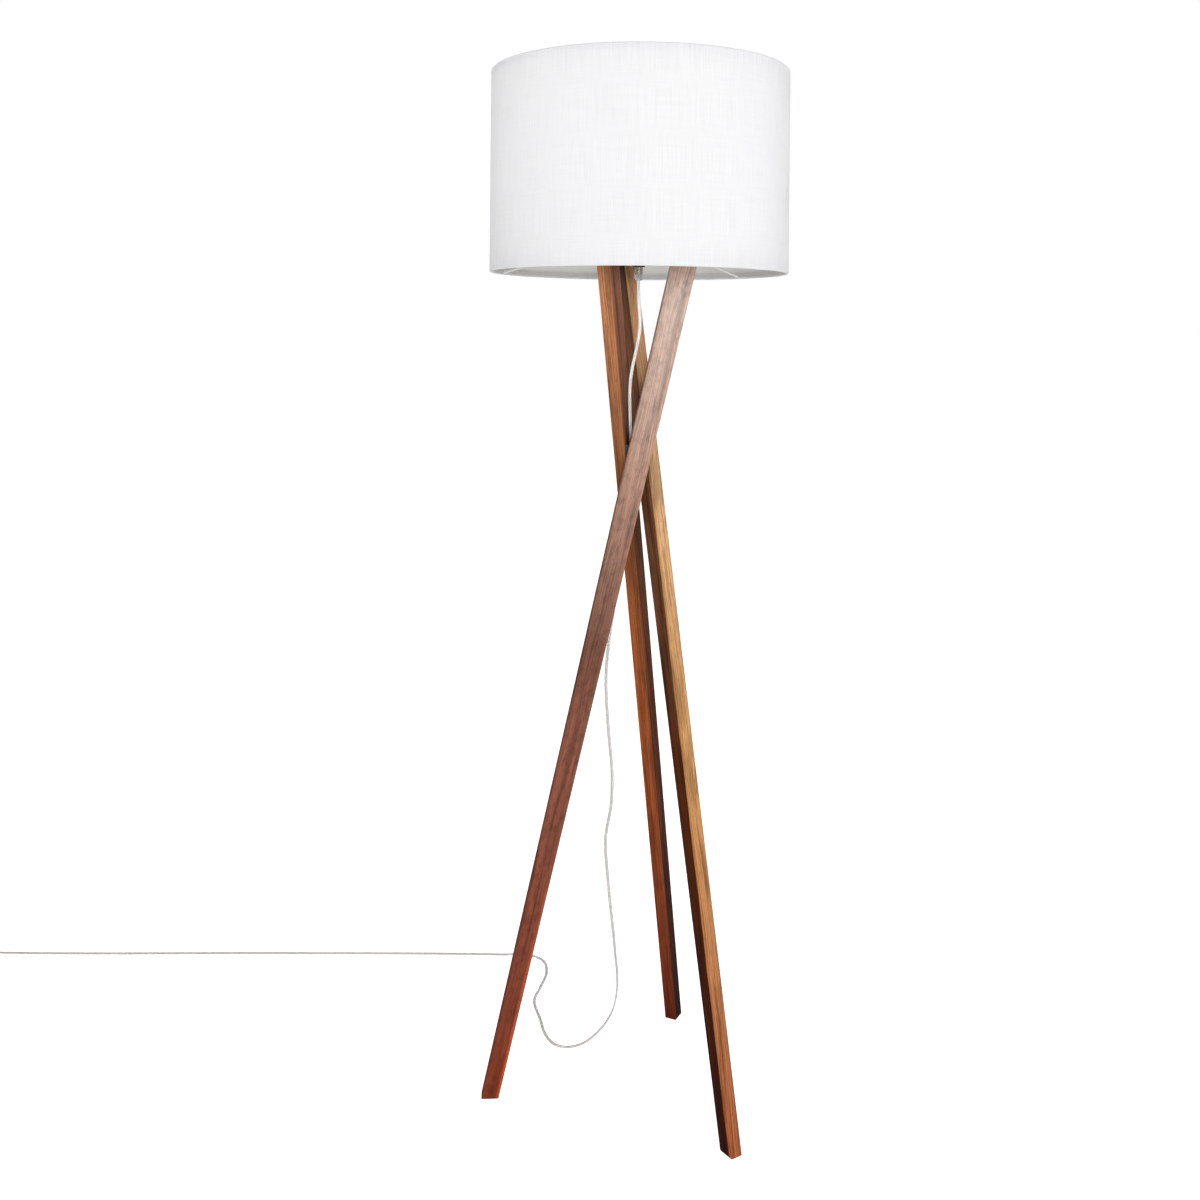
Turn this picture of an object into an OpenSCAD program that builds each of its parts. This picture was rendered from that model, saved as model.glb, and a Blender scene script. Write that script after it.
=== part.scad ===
// Tripod floor lamp: three crossing walnut boards, a drum shade on a spider, one lampholder.
// Millimetres, +Z up, origin on the floor under the middle of the shade.

/* [Legs] */
// Thickness of each leg board
leg_thick = 19; // [15.5:0.1:24]
// Width of a leg board at the floor
leg_foot_w = 25.3; // [20:0.1:34]
// Width of a leg board at its top end
leg_head_w = 39.2; // [32:0.1:48]
// Lean of each board from upright, in degrees
leg_lean = 12.65; // [10:0.05:14]
// Height of the tops of the legs
leg_top_z = 1278; // [1060:1:1550]
// Drop from the tops of the legs to their crossing
waist_drop = 316; // [260:1:380]
// Play between neighbouring boards at the crossing
waist_gap = 0.15; // [0.05:0.05:0.5]

/* [Waist tube] */
// Length of the three-sided tube inside the crossing
tube_len = 44; // [36:1:60]
// Wall of the three-sided tube
tube_wall = 2; // [1.5:0.1:3]
// Shank diameter of the screws through the crossing
waist_screw_d = 5; // [4:0.5:6]
// Diameter of the wooden plugs over those screws
plug_d = 10; // [9:0.5:12]

/* [Bracket] */
// Thickness of the steel bracket between the leg tops
bracket_t = 3; // [2:0.5:4]
// Height of the bracket's upturned flanges
flange_h = 16; // [14:0.5:20]
// Width of one bracket strip
strip_w = 17; // [14:0.5:22]
// Shank diameter of the wood screws
wood_screw_d = 3.5; // [3:0.5:4.5]

/* [Shade] */
// Outer radius of the drum shade
shade_r = 228.6; // [210:0.2:280]
// Height of the drum shade
shade_h = 306; // [240:1:370]
// Thickness of the fabric
fabric_t = 0.8; // [0.6:0.1:1.2]
// Thickness of the stiff liner behind the fabric
liner_t = 0.5; // [0.3:0.1:1]
// Diameter of the wire rings
wire_d = 3.2; // [2.5:0.1:4]
// Height of the turned-in hems
hem_h = 9; // [7:0.5:14]
// Diameter of the spider's arms
arm_d = 4.2; // [3:0.1:5]
// Drop from the spider's hub to the bottom edge of the shade
spider_drop = 58.6; // [45:0.2:75]

/* [Lampholder] */
// Outer radius of the lampholder's threaded skirt
holder_r = 19.5; // [18.5:0.1:24]
// Height of the closed cap under the skirt
cap_h = 25; // [22:0.5:30]
// Height of the skirt
skirt_h = 36; // [34:0.5:42]
// Outer diameter of the threaded tube through the bracket
nipple_d = 10; // [9:0.1:12]
// Wall of the cord grip round the threaded tube
grip_wall = 1.5; // [1.2:0.1:3]
// Length of the cord grip
grip_l = 20.5; // [18:0.5:26]
// Diameter of the turn knob
knob_d = 12; // [10:0.5:15]

/* [Bulb] */
// Largest diameter of the bulb
bulb_d = 60; // [45:1:65]
// Length of the bulb over its cap
bulb_l = 108; // [98:1:116]

/* [Cord] */
// Width of the twin cord
cord_d = 5; // [4.2:0.1:6]

/* [Hidden] */

$fn = 64;
fine_fn = 128;
e = 0.01;                 // overshoot of a cutting shape
fit = 0.05;               // play of a close fit, on the radius
free = 0.3;               // play between pieces that are only near each other
walnut = "#6b3f2a";
steel = "#1d1d1f";
brass = "#b08d4a";
nickel = "#c4c4c2";
phenolic = "#232324";
white = "#f2f2ef";

// Legs: board k stands on the plane at distance core_r from the axis and turns by leg_turn[k]
leg_turn = [273.9, 33.9, 153.9];
lean_run = tan(leg_lean);
head_half = leg_head_w / 2 / cos(leg_lean);
foot_half = leg_foot_w / 2 / cos(leg_lean);
function half_at(z) = foot_half + (head_half - foot_half) * z / leg_top_z;
function mid_at(z) = (z - waist_z) * lean_run;
waist_z = leg_top_z - waist_drop;
core_r = (half_at(waist_z) + waist_gap) / sqrt(3);   // axis to the legs' inner faces
outer_r = core_r + leg_thick;                        // axis to the legs' outer faces

// Screws through the crossing
waist_screw_z = [waist_z - 12, waist_z + 12];
waist_head_d = plug_d - 0.4;
waist_head_h = 3;
plug_l = 5;
waist_tip = 2;            // screw beyond the tube wall

// Bracket
plate_z = leg_top_z - flange_h;
plate_top = plate_z + bracket_t;
flange_end = mid_at(leg_top_z) + head_half - 3;
flange_start = mid_at(plate_z) - half_at(plate_z) + 4;
bracket_screw_z = plate_z + 9.5;
bracket_screw_t = [flange_start + 8, flange_end - 8];
wood_screw_l = 13;        // in the wood
wood_head_d = 7;
wood_head_h = 2.2;
plate_disc_r = holder_r + 3.5;

// Cord grip and what holds it, from the plate down
washer_t = 1;
washer_d = nipple_d + 12;
nut_h = 4.5;
nut_af = nipple_d + 7;
grip_d = nipple_d + 2 * grip_wall;
nut_z = plate_z - washer_t - nut_h;
grip_z = nut_z - grip_l;
nipple_z = grip_z + 10;
nipple_wall = 1.5;
cord_hole = cord_d + 0.3;

// Lampholder, from the plate up
cap_z = plate_top;
cap_floor = 3;
cap_wall = 2;
skirt_z = cap_z + cap_h;
skirt_wall = 2.5;
spigot_h = 6;
flange_z = skirt_z + 12;
flange_t = 3;
flange_r = holder_r + 3;
hub_z = flange_z + flange_t + fit;
hub_t = 1.6;
hub_r = holder_r + 10.5;
ring_z = hub_z + hub_t + fit;
ring_h = 7;
ring_r = holder_r + 5;
block_r = 14.5;
block_z = cap_z + cap_floor + 4;
block_h = 16;
block_top = block_z + block_h;
ledge_r = 12.5;
shell_r = 13.9;
shell_wall = 0.5;
shell_h = 26;
contact_t = 1.8;
contact_r = 4;
terminal_r = 8;
terminal_head_h = 1.8;
wire_lead_d = 1.8;
lead_z = block_z - terminal_head_h - wire_lead_d / 2;
tail_top = lead_z - wire_lead_d / 2;

// Turn knob
knob_turn_dir = 287.9;
knob_z = cap_z + 14;
shaft_d = 4;
shaft_in = 8;             // inner end of the shaft, from the axis
knob_gap = 1.5;
knob_l = 14;
flute_n = 12;

// Shade
shade_z = hub_z - spider_drop;
shade_top = shade_z + shade_h;
inside_r = shade_r - fabric_t;
wire_r = inside_r - fit - wire_d / 2;
wire_low_z = shade_z + fabric_t + fit + wire_d / 2;
wire_high_z = shade_top - fabric_t - fit - wire_d / 2;
hem_r = wire_r - wire_d / 2 - fit;
arm_turn = [41.3, 161.3, 281.3];
arm_in_r = flange_r + 2.5;
arm_in_z = hub_z - arm_d / 2;
arm_len = norm([wire_r - arm_in_r, arm_in_z - wire_low_z]);
arm_pitch = atan2(wire_low_z - arm_in_z, wire_r - arm_in_r);

// Bulb
bulb_z = block_top + contact_t + 0.1;
bulb_cap_r = shell_r - shell_wall - 0.4;
bulb_cap_h = 27;
bulb_cap_wall = 0.4;
neck_r = 14.2;
neck_z = bulb_z + bulb_cap_h;
globe_r = bulb_d / 2;
globe_z = bulb_z + bulb_l - globe_r;
glass_t = 1;
stem_r = 4;
stem_top = globe_z - 22;
filament_n = 4;
filament_l = 34;
filament_d = 1.8;

// The cord's centre line: down through the crossing, down behind the front leg, over the floor
cord_points = [
  [0, 0, grip_z], [1, 0, 1205], [3, -1, 1165], [-1, -4, 1138], [-6, -6, 1114], [-10, -8, 1092],
  [-12, -9, 1066], [-11, -8, 1025], [-9, -6, 980], [-9, -6, 935], [-16, -4, 860], [-29, 6, 760],
  [-41, 20, 665], [-44, 28, 615], [-40, 37, 540], [-33, 46, 462], [-34, 52, 410], [-42, 58, 355],
  [-38, 66, 290], [-25, 80, 165], [-21, 89, 105], [-29, 93, 62], [-50, 97, 29], [-74, 98, 10],
  [-98, 98, 3], [-118, 104, 2.5], [-132, 123, 2.5], [-149, 188, 2.5], [-161, 246, 2.5],
  [-152, 294, 2.5], [-144, 345, 2.5], [-152, 388, 2.5], [-175, 408, 2.5], [-235, 411, 2.5],
  [-600, 409, 2.5], [-1155, 400, 2.5], [-1215, 403, 2.5], [-1252, 428, 2.5],
  [-1262, 470, 4], [-1262, 500, 7]
];
cord_sides = 10;
cord_steps = 2;           // rings for each stretch between two points
cord_end = cord_points[len(cord_points) - 1];

// Plug at the cord's end, its blades pointing along +Y
plug_w = 25;
plug_h = 14;
plug_l_body = 34;
plug_neck_r = 5;
plug_neck_l = 12;
blade_w = 6.3;
blade_t = 1.5;
blade_l = 17;
blade_gap = 12.7;

// ---- Shapes used more than once ----

// Stands a leg's own drawing (across, up) on its inner plane, turned to board k
module on_leg(k, depth) {
  rotate([0, 0, leg_turn[k]]) translate([depth, 0, 0]) rotate([90, 0, 90]) children();
}

// A round hole or shank square to board k's faces, from depth a to depth b
module across_leg(k, along, z, d, a, b) {
  on_leg(k, a) translate([along, z, 0]) cylinder(d = d, h = b - a);
}

module torus(r, z, d) {
  translate([0, 0, z]) rotate_extrude($fn = fine_fn) translate([r, 0]) circle(d = d, $fn = 24);
}

// ---- Stand ----

module leg(k) {
  color(walnut) difference() {
    on_leg(k, core_r) linear_extrude(leg_thick) polygon([
      [mid_at(0) - foot_half, 0],
      [mid_at(0) + foot_half, 0],
      [mid_at(leg_top_z) + head_half, leg_top_z],
      [mid_at(leg_top_z) - head_half, leg_top_z]
    ]);
    for (z = waist_screw_z) {
      across_leg(k, mid_at(z), z, waist_screw_d + 2 * fit, core_r - e, outer_r + e);
      across_leg(k, mid_at(z), z, plug_d, outer_r - plug_l - waist_head_h, outer_r + e);
    }
    for (t = bracket_screw_t) {
      across_leg(k, t, bracket_screw_z, wood_screw_d + 2 * fit, core_r - e, core_r + wood_screw_l);
    }
  }
}

module waist_tube() {
  // A triangle's corners stand twice as far from the axis as its sides
  corner = 2 * core_r;
  color(steel) difference() {
    translate([0, 0, waist_z - tube_len / 2]) rotate([0, 0, leg_turn[1] - 60]) {
      linear_extrude(tube_len) difference() {
        circle(r = corner, $fn = 3);
        circle(r = corner - 2 * tube_wall, $fn = 3);
      }
    }
    for (k = [0:2], z = waist_screw_z) {
      across_leg(k, mid_at(z), z, waist_screw_d + 2 * fit, core_r - tube_wall - e, core_r + e);
    }
  }
}

module waist_screws() {
  color(steel) for (k = [0:2], z = waist_screw_z) {
    seat = outer_r - plug_l - waist_head_h;
    across_leg(k, mid_at(z), z, waist_screw_d, core_r - tube_wall - waist_tip, seat + e);
    across_leg(k, mid_at(z), z, waist_head_d, seat, outer_r - plug_l);
  }
}

module screw_plugs() {
  color(walnut) for (k = [0:2], z = waist_screw_z) {
    across_leg(k, mid_at(z), z, plug_d, outer_r - plug_l, outer_r);
  }
}

module top_bracket() {
  color(steel) difference() {
    union() {
      translate([0, 0, plate_z]) cylinder(r = plate_disc_r, h = bracket_t);
      for (k = [0:2]) rotate([0, 0, leg_turn[k]]) {
        translate([core_r - strip_w, 0, plate_z]) cube([strip_w, flange_end, bracket_t]);
        translate([core_r - bracket_t, flange_start, plate_z]) {
          cube([bracket_t, flange_end - flange_start, flange_h]);
        }
      }
    }
    // The hub disc is cut back where it would reach a leg
    for (k = [0:2]) rotate([0, 0, leg_turn[k]]) {
      translate([core_r, mid_at(plate_z) - half_at(plate_z) - free, plate_z - e]) {
        cube([plate_disc_r, plate_disc_r, bracket_t + 2 * e]);
      }
    }
    translate([0, 0, plate_z - e]) cylinder(d = nipple_d + 2 * fit, h = bracket_t + 2 * e);
    for (k = [0:2], t = bracket_screw_t) {
      across_leg(k, t, bracket_screw_z, wood_screw_d + 2 * fit, core_r - bracket_t - e, core_r + e);
    }
  }
}

module bracket_screws() {
  color(nickel) for (k = [0:2], t = bracket_screw_t) {
    head = core_r - bracket_t - wood_head_h;
    across_leg(k, t, bracket_screw_z, wood_head_d, head, core_r - bracket_t);
    across_leg(k, t, bracket_screw_z, wood_screw_d, head + e, core_r + wood_screw_l);
  }
}

// ---- Lampholder ----

module nipple() {
  length = cap_z + cap_floor - nipple_z;
  color(brass) translate([0, 0, nipple_z]) difference() {
    cylinder(d = nipple_d, h = length);
    translate([0, 0, -e]) cylinder(d = nipple_d - 2 * nipple_wall, h = length + 2 * e);
  }
}

module lock_nut() {
  color(steel) translate([0, 0, nut_z]) difference() {
    cylinder(r = nut_af / sqrt(3), h = nut_h, $fn = 6);
    translate([0, 0, -e]) cylinder(d = nipple_d + 2 * fit, h = nut_h + 2 * e);
  }
}

module grip_washer() {
  color(nickel) translate([0, 0, plate_z - washer_t]) difference() {
    cylinder(d = washer_d, h = washer_t);
    translate([0, 0, -e]) cylinder(d = nipple_d + 2 * fit, h = washer_t + 2 * e);
  }
}

module cord_grip() {
  round_r = 3;
  r = grip_d / 2;
  color("#dfe3e4") difference() {
    translate([0, 0, grip_z]) rotate_extrude() polygon(concat(
      [[0, 0]],
      [for (a = [-90:15:0]) [r - round_r + round_r * cos(a), round_r + round_r * sin(a)]],
      [[r, grip_l], [0, grip_l]]
    ));
    translate([0, 0, grip_z - e]) cylinder(d = cord_hole, h = grip_l);
    translate([0, 0, nipple_z]) cylinder(d = nipple_d + 2 * fit, h = grip_l);
  }
}

module cord_tail() {
  color("#dfe3e4") translate([0, 0, grip_z]) cylinder(d = cord_d, h = tail_top - grip_z);
}

module lead_wires() {
  color(brass) for (side = [90, 270]) {
    rotate([0, 0, knob_turn_dir + side]) translate([0.3, 0, lead_z]) rotate([0, 90, 0]) {
      cylinder(d = wire_lead_d, h = terminal_r + 1);
    }
  }
}

module holder_cap() {
  round_r = 6;
  inner_r = holder_r - cap_wall;
  color(phenolic) difference() {
    translate([0, 0, cap_z]) rotate_extrude() difference() {
      polygon(concat(
        [[0, 0]],
        [for (a = [-90:15:0]) [holder_r - round_r + round_r * cos(a), round_r + round_r * sin(a)]],
        [[holder_r, cap_h], [0, cap_h]]
      ));
      translate([0, cap_floor]) square([ledge_r, cap_h]);
      translate([0, block_z - cap_z]) square([block_r + fit, cap_h]);
      translate([0, block_z - cap_z + 3]) square([inner_r, cap_h]);
    }
    translate([0, 0, cap_z - e]) cylinder(d = nipple_d + 2 * fit, h = cap_floor + 2 * e);
    on_knob_axis() cylinder(d = shaft_d + 2 * free, h = holder_r + 2);
  }
}

module holder_skirt() {
  inner_r = holder_r - skirt_wall;
  spigot_r = holder_r - cap_wall - fit;
  color(phenolic) translate([0, 0, skirt_z]) difference() {
    union() {
      cylinder(r = holder_r, h = skirt_h);
      translate([0, 0, flange_z - skirt_z]) cylinder(r = flange_r, h = flange_t);
      translate([0, 0, -spigot_h]) cylinder(r = spigot_r, h = spigot_h + e);
    }
    translate([0, 0, -spigot_h - e]) cylinder(r = spigot_r - 1.6, h = spigot_h + 1);
    translate([0, 0, -1]) cylinder(r = min(inner_r, spigot_r - 1.6), h = skirt_h + 2);
    cylinder(r = inner_r, h = skirt_h + e);
  }
}

module terminal_block() {
  color(white) difference() {
    translate([0, 0, block_z]) cylinder(r = block_r, h = block_h);
    on_knob_axis() translate([0, 0, shaft_in]) cylinder(d = shaft_d + 2 * fit, h = block_r);
    for (side = [90, 270]) {
      rotate([0, 0, knob_turn_dir + side]) translate([terminal_r, 0, block_z - e]) {
        cylinder(d = 3, h = 3 + e);
      }
    }
  }
}

module terminal_screws() {
  color(brass) for (side = [90, 270]) {
    rotate([0, 0, knob_turn_dir + side]) translate([terminal_r, 0, block_z - terminal_head_h]) {
      cylinder(d = 6, h = terminal_head_h);
      cylinder(d = 3, h = terminal_head_h + 3);
    }
  }
}

module screw_shell() {
  color(nickel) translate([0, 0, block_top]) difference() {
    cylinder(r = shell_r, h = shell_h);
    translate([0, 0, shell_wall]) cylinder(r = shell_r - shell_wall, h = shell_h);
    translate([0, 0, -e]) cylinder(r = contact_r + 2, h = 1);
  }
}

module centre_contact() {
  color(brass) translate([0, 0, block_top]) cylinder(r = contact_r, h = contact_t);
}

// Lays a shape's own +Z along the knob's axis, out from the lamp's axis
module on_knob_axis() {
  translate([0, 0, knob_z]) rotate([0, 90, knob_turn_dir]) children();
}

module knob_shaft() {
  color(brass) on_knob_axis() translate([0, 0, shaft_in]) {
    cylinder(d = shaft_d, h = holder_r + knob_gap + 8 - shaft_in);
  }
}

module switch_knob() {
  flute_d = 1.6;
  color(phenolic) on_knob_axis() translate([0, 0, holder_r + knob_gap]) difference() {
    cylinder(d = knob_d, h = knob_l);
    translate([0, 0, -e]) cylinder(d = shaft_d, h = 8 + e);
    for (i = [0:flute_n - 1]) rotate([0, 0, i * 360 / flute_n]) {
      translate([knob_d / 2 + 0.3, 0, 2]) cylinder(d = flute_d, h = knob_l, $fn = 16);
    }
  }
}

module shade_ring() {
  color(phenolic) translate([0, 0, ring_z]) difference() {
    cylinder(r = ring_r, h = ring_h);
    translate([0, 0, -e]) cylinder(r = holder_r + fit, h = ring_h + 2 * e);
    for (i = [0:11]) rotate([0, 0, i * 30]) {
      translate([ring_r + 1, 0, -e]) cylinder(d = 5, h = ring_h + 2 * e, $fn = 24);
    }
  }
}

// ---- Shade ----

module hem_profile(low, up) {
  // Turned in under the wire ring and up behind it
  translate([hem_r - fabric_t, low]) square([shade_r - hem_r + fabric_t - e, fabric_t]);
  translate([hem_r - fabric_t, low + min(0, up * hem_h) + (up < 0 ? fabric_t : 0)]) {
    square([fabric_t, hem_h]);
  }
}

module shade_fabric() {
  color(white) difference() {
    rotate_extrude($fn = fine_fn) union() {
      translate([inside_r, shade_z]) square([fabric_t, shade_h]);
      hem_profile(shade_z, 1);
      hem_profile(shade_top - fabric_t, -1);
    }
    for (turn = arm_turn) on_arm(turn) cylinder(d = arm_d + 2 * free, h = arm_len);
  }
}

module shade_liner() {
  low = shade_z + wire_d + 2;
  color(white) translate([0, 0, low]) difference() {
    cylinder(r = inside_r - fit, h = shade_top - wire_d - 2 - low, $fn = fine_fn);
    translate([0, 0, -e]) cylinder(r = inside_r - fit - liner_t, h = shade_h, $fn = fine_fn);
  }
}

module wire_ring_upper() {
  color(white) torus(wire_r, wire_high_z, wire_d);
}

module wire_ring_lower() {
  color(white) torus(wire_r, wire_low_z, wire_d);
}

module hub_solid() {
  translate([0, 0, hub_z]) cylinder(r = hub_r, h = hub_t);
}

module spider_hub() {
  color(white) difference() {
    hub_solid();
    translate([0, 0, hub_z - e]) cylinder(r = holder_r + 8 * fit, h = hub_t + 2 * e);
  }
}

// Lays a shape's own +Z along a spider arm, from the hub down to the lower ring
module on_arm(turn) {
  rotate([0, 0, turn]) translate([arm_in_r, 0, arm_in_z]) rotate([0, 90 - arm_pitch, 0]) children();
}

module spider_arm(i) {
  color(white) difference() {
    on_arm(arm_turn[i]) cylinder(d = arm_d, h = arm_len);
    hub_solid();
    torus(wire_r, wire_low_z, wire_d);
  }
}

// ---- Bulb ----

module bulb_outline(shrink) {
  r = globe_r - shrink;
  start = -48;
  polygon(concat(
    [[0, neck_z], [neck_r - shrink, neck_z], [neck_r - shrink, neck_z + 6]],
    [for (a = [start:6:90]) [r * cos(a), globe_z + r * sin(a)]]
  ));
}

module bulb_glass() {
  color([1, 1, 1, 0.6]) rotate_extrude($fn = 96) difference() {
    bulb_outline(0);
    translate([0, -e]) bulb_outline(glass_t);
  }
}

module bulb_cap() {
  low = bulb_z + 3;
  color(nickel) translate([0, 0, low]) difference() {
    cylinder(r = bulb_cap_r, h = neck_z - low);
    translate([0, 0, -e]) cylinder(r = bulb_cap_r - bulb_cap_wall, h = neck_z - low + 2 * e);
  }
}

module bulb_insulator() {
  color("black") translate([0, 0, bulb_z + 1]) rotate_extrude() polygon([
    [0, 0], [5, 0], [bulb_cap_r - 0.1, 2], [0, 2]
  ]);
}

module bulb_tip() {
  color(nickel) translate([0, 0, bulb_z]) cylinder(r = contact_r, h = 1);
}

module bulb_stem() {
  color([1, 1, 1, 0.5]) {
    translate([0, 0, neck_z - 2]) cylinder(r = bulb_cap_r - bulb_cap_wall - 0.1, h = 2);
    translate([0, 0, neck_z]) cylinder(r = stem_r, h = stem_top - neck_z);
  }
}

module bulb_filaments() {
  color("#e8c860") for (i = [0:filament_n - 1]) rotate([0, 0, i * 360 / filament_n]) {
    translate([stem_r - filament_d / 2, 0, stem_top]) rotate([0, 8, 0]) {
      cylinder(d = filament_d, h = filament_l, $fn = 16);
    }
  }
}

// ---- Cord ----

function unit(v) = v / norm(v);
function heading(i) = i == 0 ? [0, 0, -1]
  : i == len(cord_points) - 1 ? [0, 1, 0]
  : unit(unit(cord_points[i] - cord_points[i - 1]) + unit(cord_points[i + 1] - cord_points[i]));

// A smooth curve through two neighbouring points, at t from 0 to 1
function on_cord(i, t) =
  let (p = cord_points[i], q = cord_points[i + 1], l = norm(q - p))
  (2 * t ^ 3 - 3 * t ^ 2 + 1) * p + (t ^ 3 - 2 * t ^ 2 + t) * l * heading(i)
  + (3 * t ^ 2 - 2 * t ^ 3) * q + (t ^ 3 - t ^ 2) * l * heading(i + 1);

cord_line = concat(
  [for (i = [0:len(cord_points) - 2], j = [0:cord_steps - 1]) on_cord(i, j / cord_steps)],
  [cord_end]
);
// No ring reaches below the floor
cord_path = [for (p = cord_line) [p.x, p.y, max(p.z, cord_d / 2)]];

function along(i) = i == 0 ? [0, 0, -1]
  : i == len(cord_path) - 1 ? [0, 1, 0]
  : unit(cord_path[i + 1] - cord_path[i - 1]);
// Each ring's first spoke is the last one's, kept square to the path
function spokes(i, last, out) = i == len(cord_path) ? out
  : let (d = along(i), s = unit(last - (last * d) * d)) spokes(i + 1, s, concat(out, [s]));

module cord() {
  last = len(cord_path) - 1;
  first_spokes = spokes(0, [1, 0, 0], []);
  points = [for (i = [0:last], j = [0:cord_sides - 1])
    let (s = first_spokes[i], b = cross(along(i), s), a = j * 360 / cord_sides)
    let (p = cord_path[i] + cord_d / 2 * (cos(a) * s + sin(a) * b)) [p.x, p.y, max(p.z, 0)]
  ];
  sides = [for (i = [0:last - 1], j = [0:cord_sides - 1])
    let (a = i * cord_sides, n = (j + 1) % cord_sides)
    [a + j, a + cord_sides + j, a + cord_sides + n, a + n]
  ];
  start_cap = [[for (j = [0:cord_sides - 1]) j]];
  end_cap = [[for (j = [cord_sides - 1:-1:0]) last * cord_sides + j]];
  color("#dfe3e4") polyhedron(points, concat(sides, start_cap, end_cap), convexity = 10);
}

module plug_body() {
  tip = cord_end.y + plug_neck_l;
  color("#e6e6e2") {
    translate(cord_end) rotate([-90, 0, 0]) cylinder(r = plug_neck_r, h = plug_neck_l);
    translate([cord_end.x - plug_w / 2, tip, cord_end.z - plug_h / 2]) {
      cube([plug_w, plug_l_body - plug_neck_l, plug_h]);
    }
  }
}

module plug_blades() {
  color(nickel) for (side = [-1, 1]) {
    translate([
      cord_end.x + side * blade_gap / 2 - blade_t / 2,
      cord_end.y + plug_l_body,
      cord_end.z - blade_w / 2
    ]) cube([blade_t, blade_l, blade_w]);
  }
}

leg(0);  // leg_front
leg(1);  // leg_right
leg(2);  // leg_back
waist_tube();
waist_screws();
screw_plugs();
top_bracket();
bracket_screws();
nipple();
lock_nut();
grip_washer();
cord_grip();
cord_tail();
lead_wires();
holder_cap();
holder_skirt();
terminal_block();
terminal_screws();
screw_shell();
centre_contact();
knob_shaft();
switch_knob();
shade_ring();
shade_fabric();
shade_liner();
wire_ring_upper();
wire_ring_lower();
spider_hub();
spider_arm(0);  // spider_arm_1
spider_arm(1);  // spider_arm_2
spider_arm(2);  // spider_arm_3
bulb_glass();
bulb_cap();
bulb_insulator();
bulb_tip();
bulb_stem();
bulb_filaments();
cord();
plug_body();
plug_blades();
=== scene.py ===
"""Tripod floor lamp: three crossing walnut boards under a linen drum shade, fed by a clear twin cord.

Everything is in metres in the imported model's own frame: +Z up, the floor at zero, the origin
under the middle of the shade.
"""

from math import atan2, cos, hypot, pi, radians, sin, sqrt, tau

import bmesh
import bpy
from bpy.props import FloatProperty, FloatVectorProperty, PointerProperty
from mathutils import Matrix, Vector


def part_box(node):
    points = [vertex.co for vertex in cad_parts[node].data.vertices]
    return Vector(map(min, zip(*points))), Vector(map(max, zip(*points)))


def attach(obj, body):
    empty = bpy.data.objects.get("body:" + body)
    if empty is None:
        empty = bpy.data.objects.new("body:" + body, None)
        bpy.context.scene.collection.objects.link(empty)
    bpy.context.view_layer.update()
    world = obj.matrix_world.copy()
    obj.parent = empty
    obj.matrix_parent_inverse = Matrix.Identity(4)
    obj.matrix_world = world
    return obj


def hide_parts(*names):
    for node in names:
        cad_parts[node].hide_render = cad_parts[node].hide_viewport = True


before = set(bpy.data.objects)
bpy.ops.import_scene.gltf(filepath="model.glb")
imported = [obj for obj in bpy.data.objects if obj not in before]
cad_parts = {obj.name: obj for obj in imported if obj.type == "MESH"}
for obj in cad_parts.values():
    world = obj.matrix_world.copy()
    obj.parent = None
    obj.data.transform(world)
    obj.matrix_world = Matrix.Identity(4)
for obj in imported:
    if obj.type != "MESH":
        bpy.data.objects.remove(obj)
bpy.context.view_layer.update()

bl_info = {
    "name": "Tripod floor lamp",
    "version": (1, 0, 0),
    "blender": (4, 5, 0),
    "location": "View3D > Sidebar > Lamp",
    "description": "Builds a walnut tripod floor lamp with a linen drum shade",
    "category": "Add Mesh",
}

MM = 0.001


def linear(hexa):
    """An sRGB hex colour as the linear RGBA that shaders work in."""
    values = [int(hexa[i : i + 2], 16) / 255 for i in (1, 3, 5)]
    return [c / 12.92 if c < 0.04045 else ((c + 0.055) / 1.055) ** 2.4 for c in values] + [1.0]


# ---- Sizes and colours ----


def length(name, about, value):
    """A length property with its default in metres."""
    return FloatProperty(name=name, description=about, default=value, min=0, unit="LENGTH", precision=4)


def angle(name, about, degrees):
    """An angle property with its default given in degrees."""
    return FloatProperty(name=name, description=about, default=radians(degrees), unit="ROTATION")


def colour(name, about, hexa):
    """A colour property with its default given in sRGB hex."""
    return FloatVectorProperty(
        name=name, description=about, default=linear(hexa), size=4, min=0, max=1, subtype="COLOR"
    )


class LampBoards(bpy.types.PropertyGroup):
    """The three leg boards and the wooden plugs over their screws."""

    thick: length("Thickness", "Thickness of each leg board", 19 * MM)
    foot: length("Foot width", "Width of a board at the floor", 25.3 * MM)
    head: length("Head width", "Width of a board at its top end", 39.2 * MM)
    lean: angle("Lean", "Lean of each board from upright", 12.65)
    top: length("Top", "Height of the boards' top ends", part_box("leg_front")[1].z)
    crossing: length("Crossing", "Height at which the three boards cross", 962 * MM)
    play: length("Play", "Play between neighbouring boards at the crossing", 0.15 * MM)
    arris: length("Arris", "Radius of the boards' eased edges", 0.9 * MM)
    plug: length("Plug", "Diameter of the wooden plugs over the screws", 10 * MM)


class LampShadeSizes(bpy.types.PropertyGroup):
    """The drum shade and its wire frame."""

    radius: length("Radius", "Outer radius of the drum", 228.6 * MM)
    cloth: length("Cloth", "Thickness of the linen", 0.8 * MM)
    liner: length("Liner", "Thickness of the stiff liner", 0.5 * MM)
    hem: length("Hem", "Height of the turned-in hems", 9 * MM)
    wire: length("Wire", "Diameter of the wire rings", 3.2 * MM)
    arm: length("Arm", "Diameter of the spider's arms", 4.2 * MM)


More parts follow.
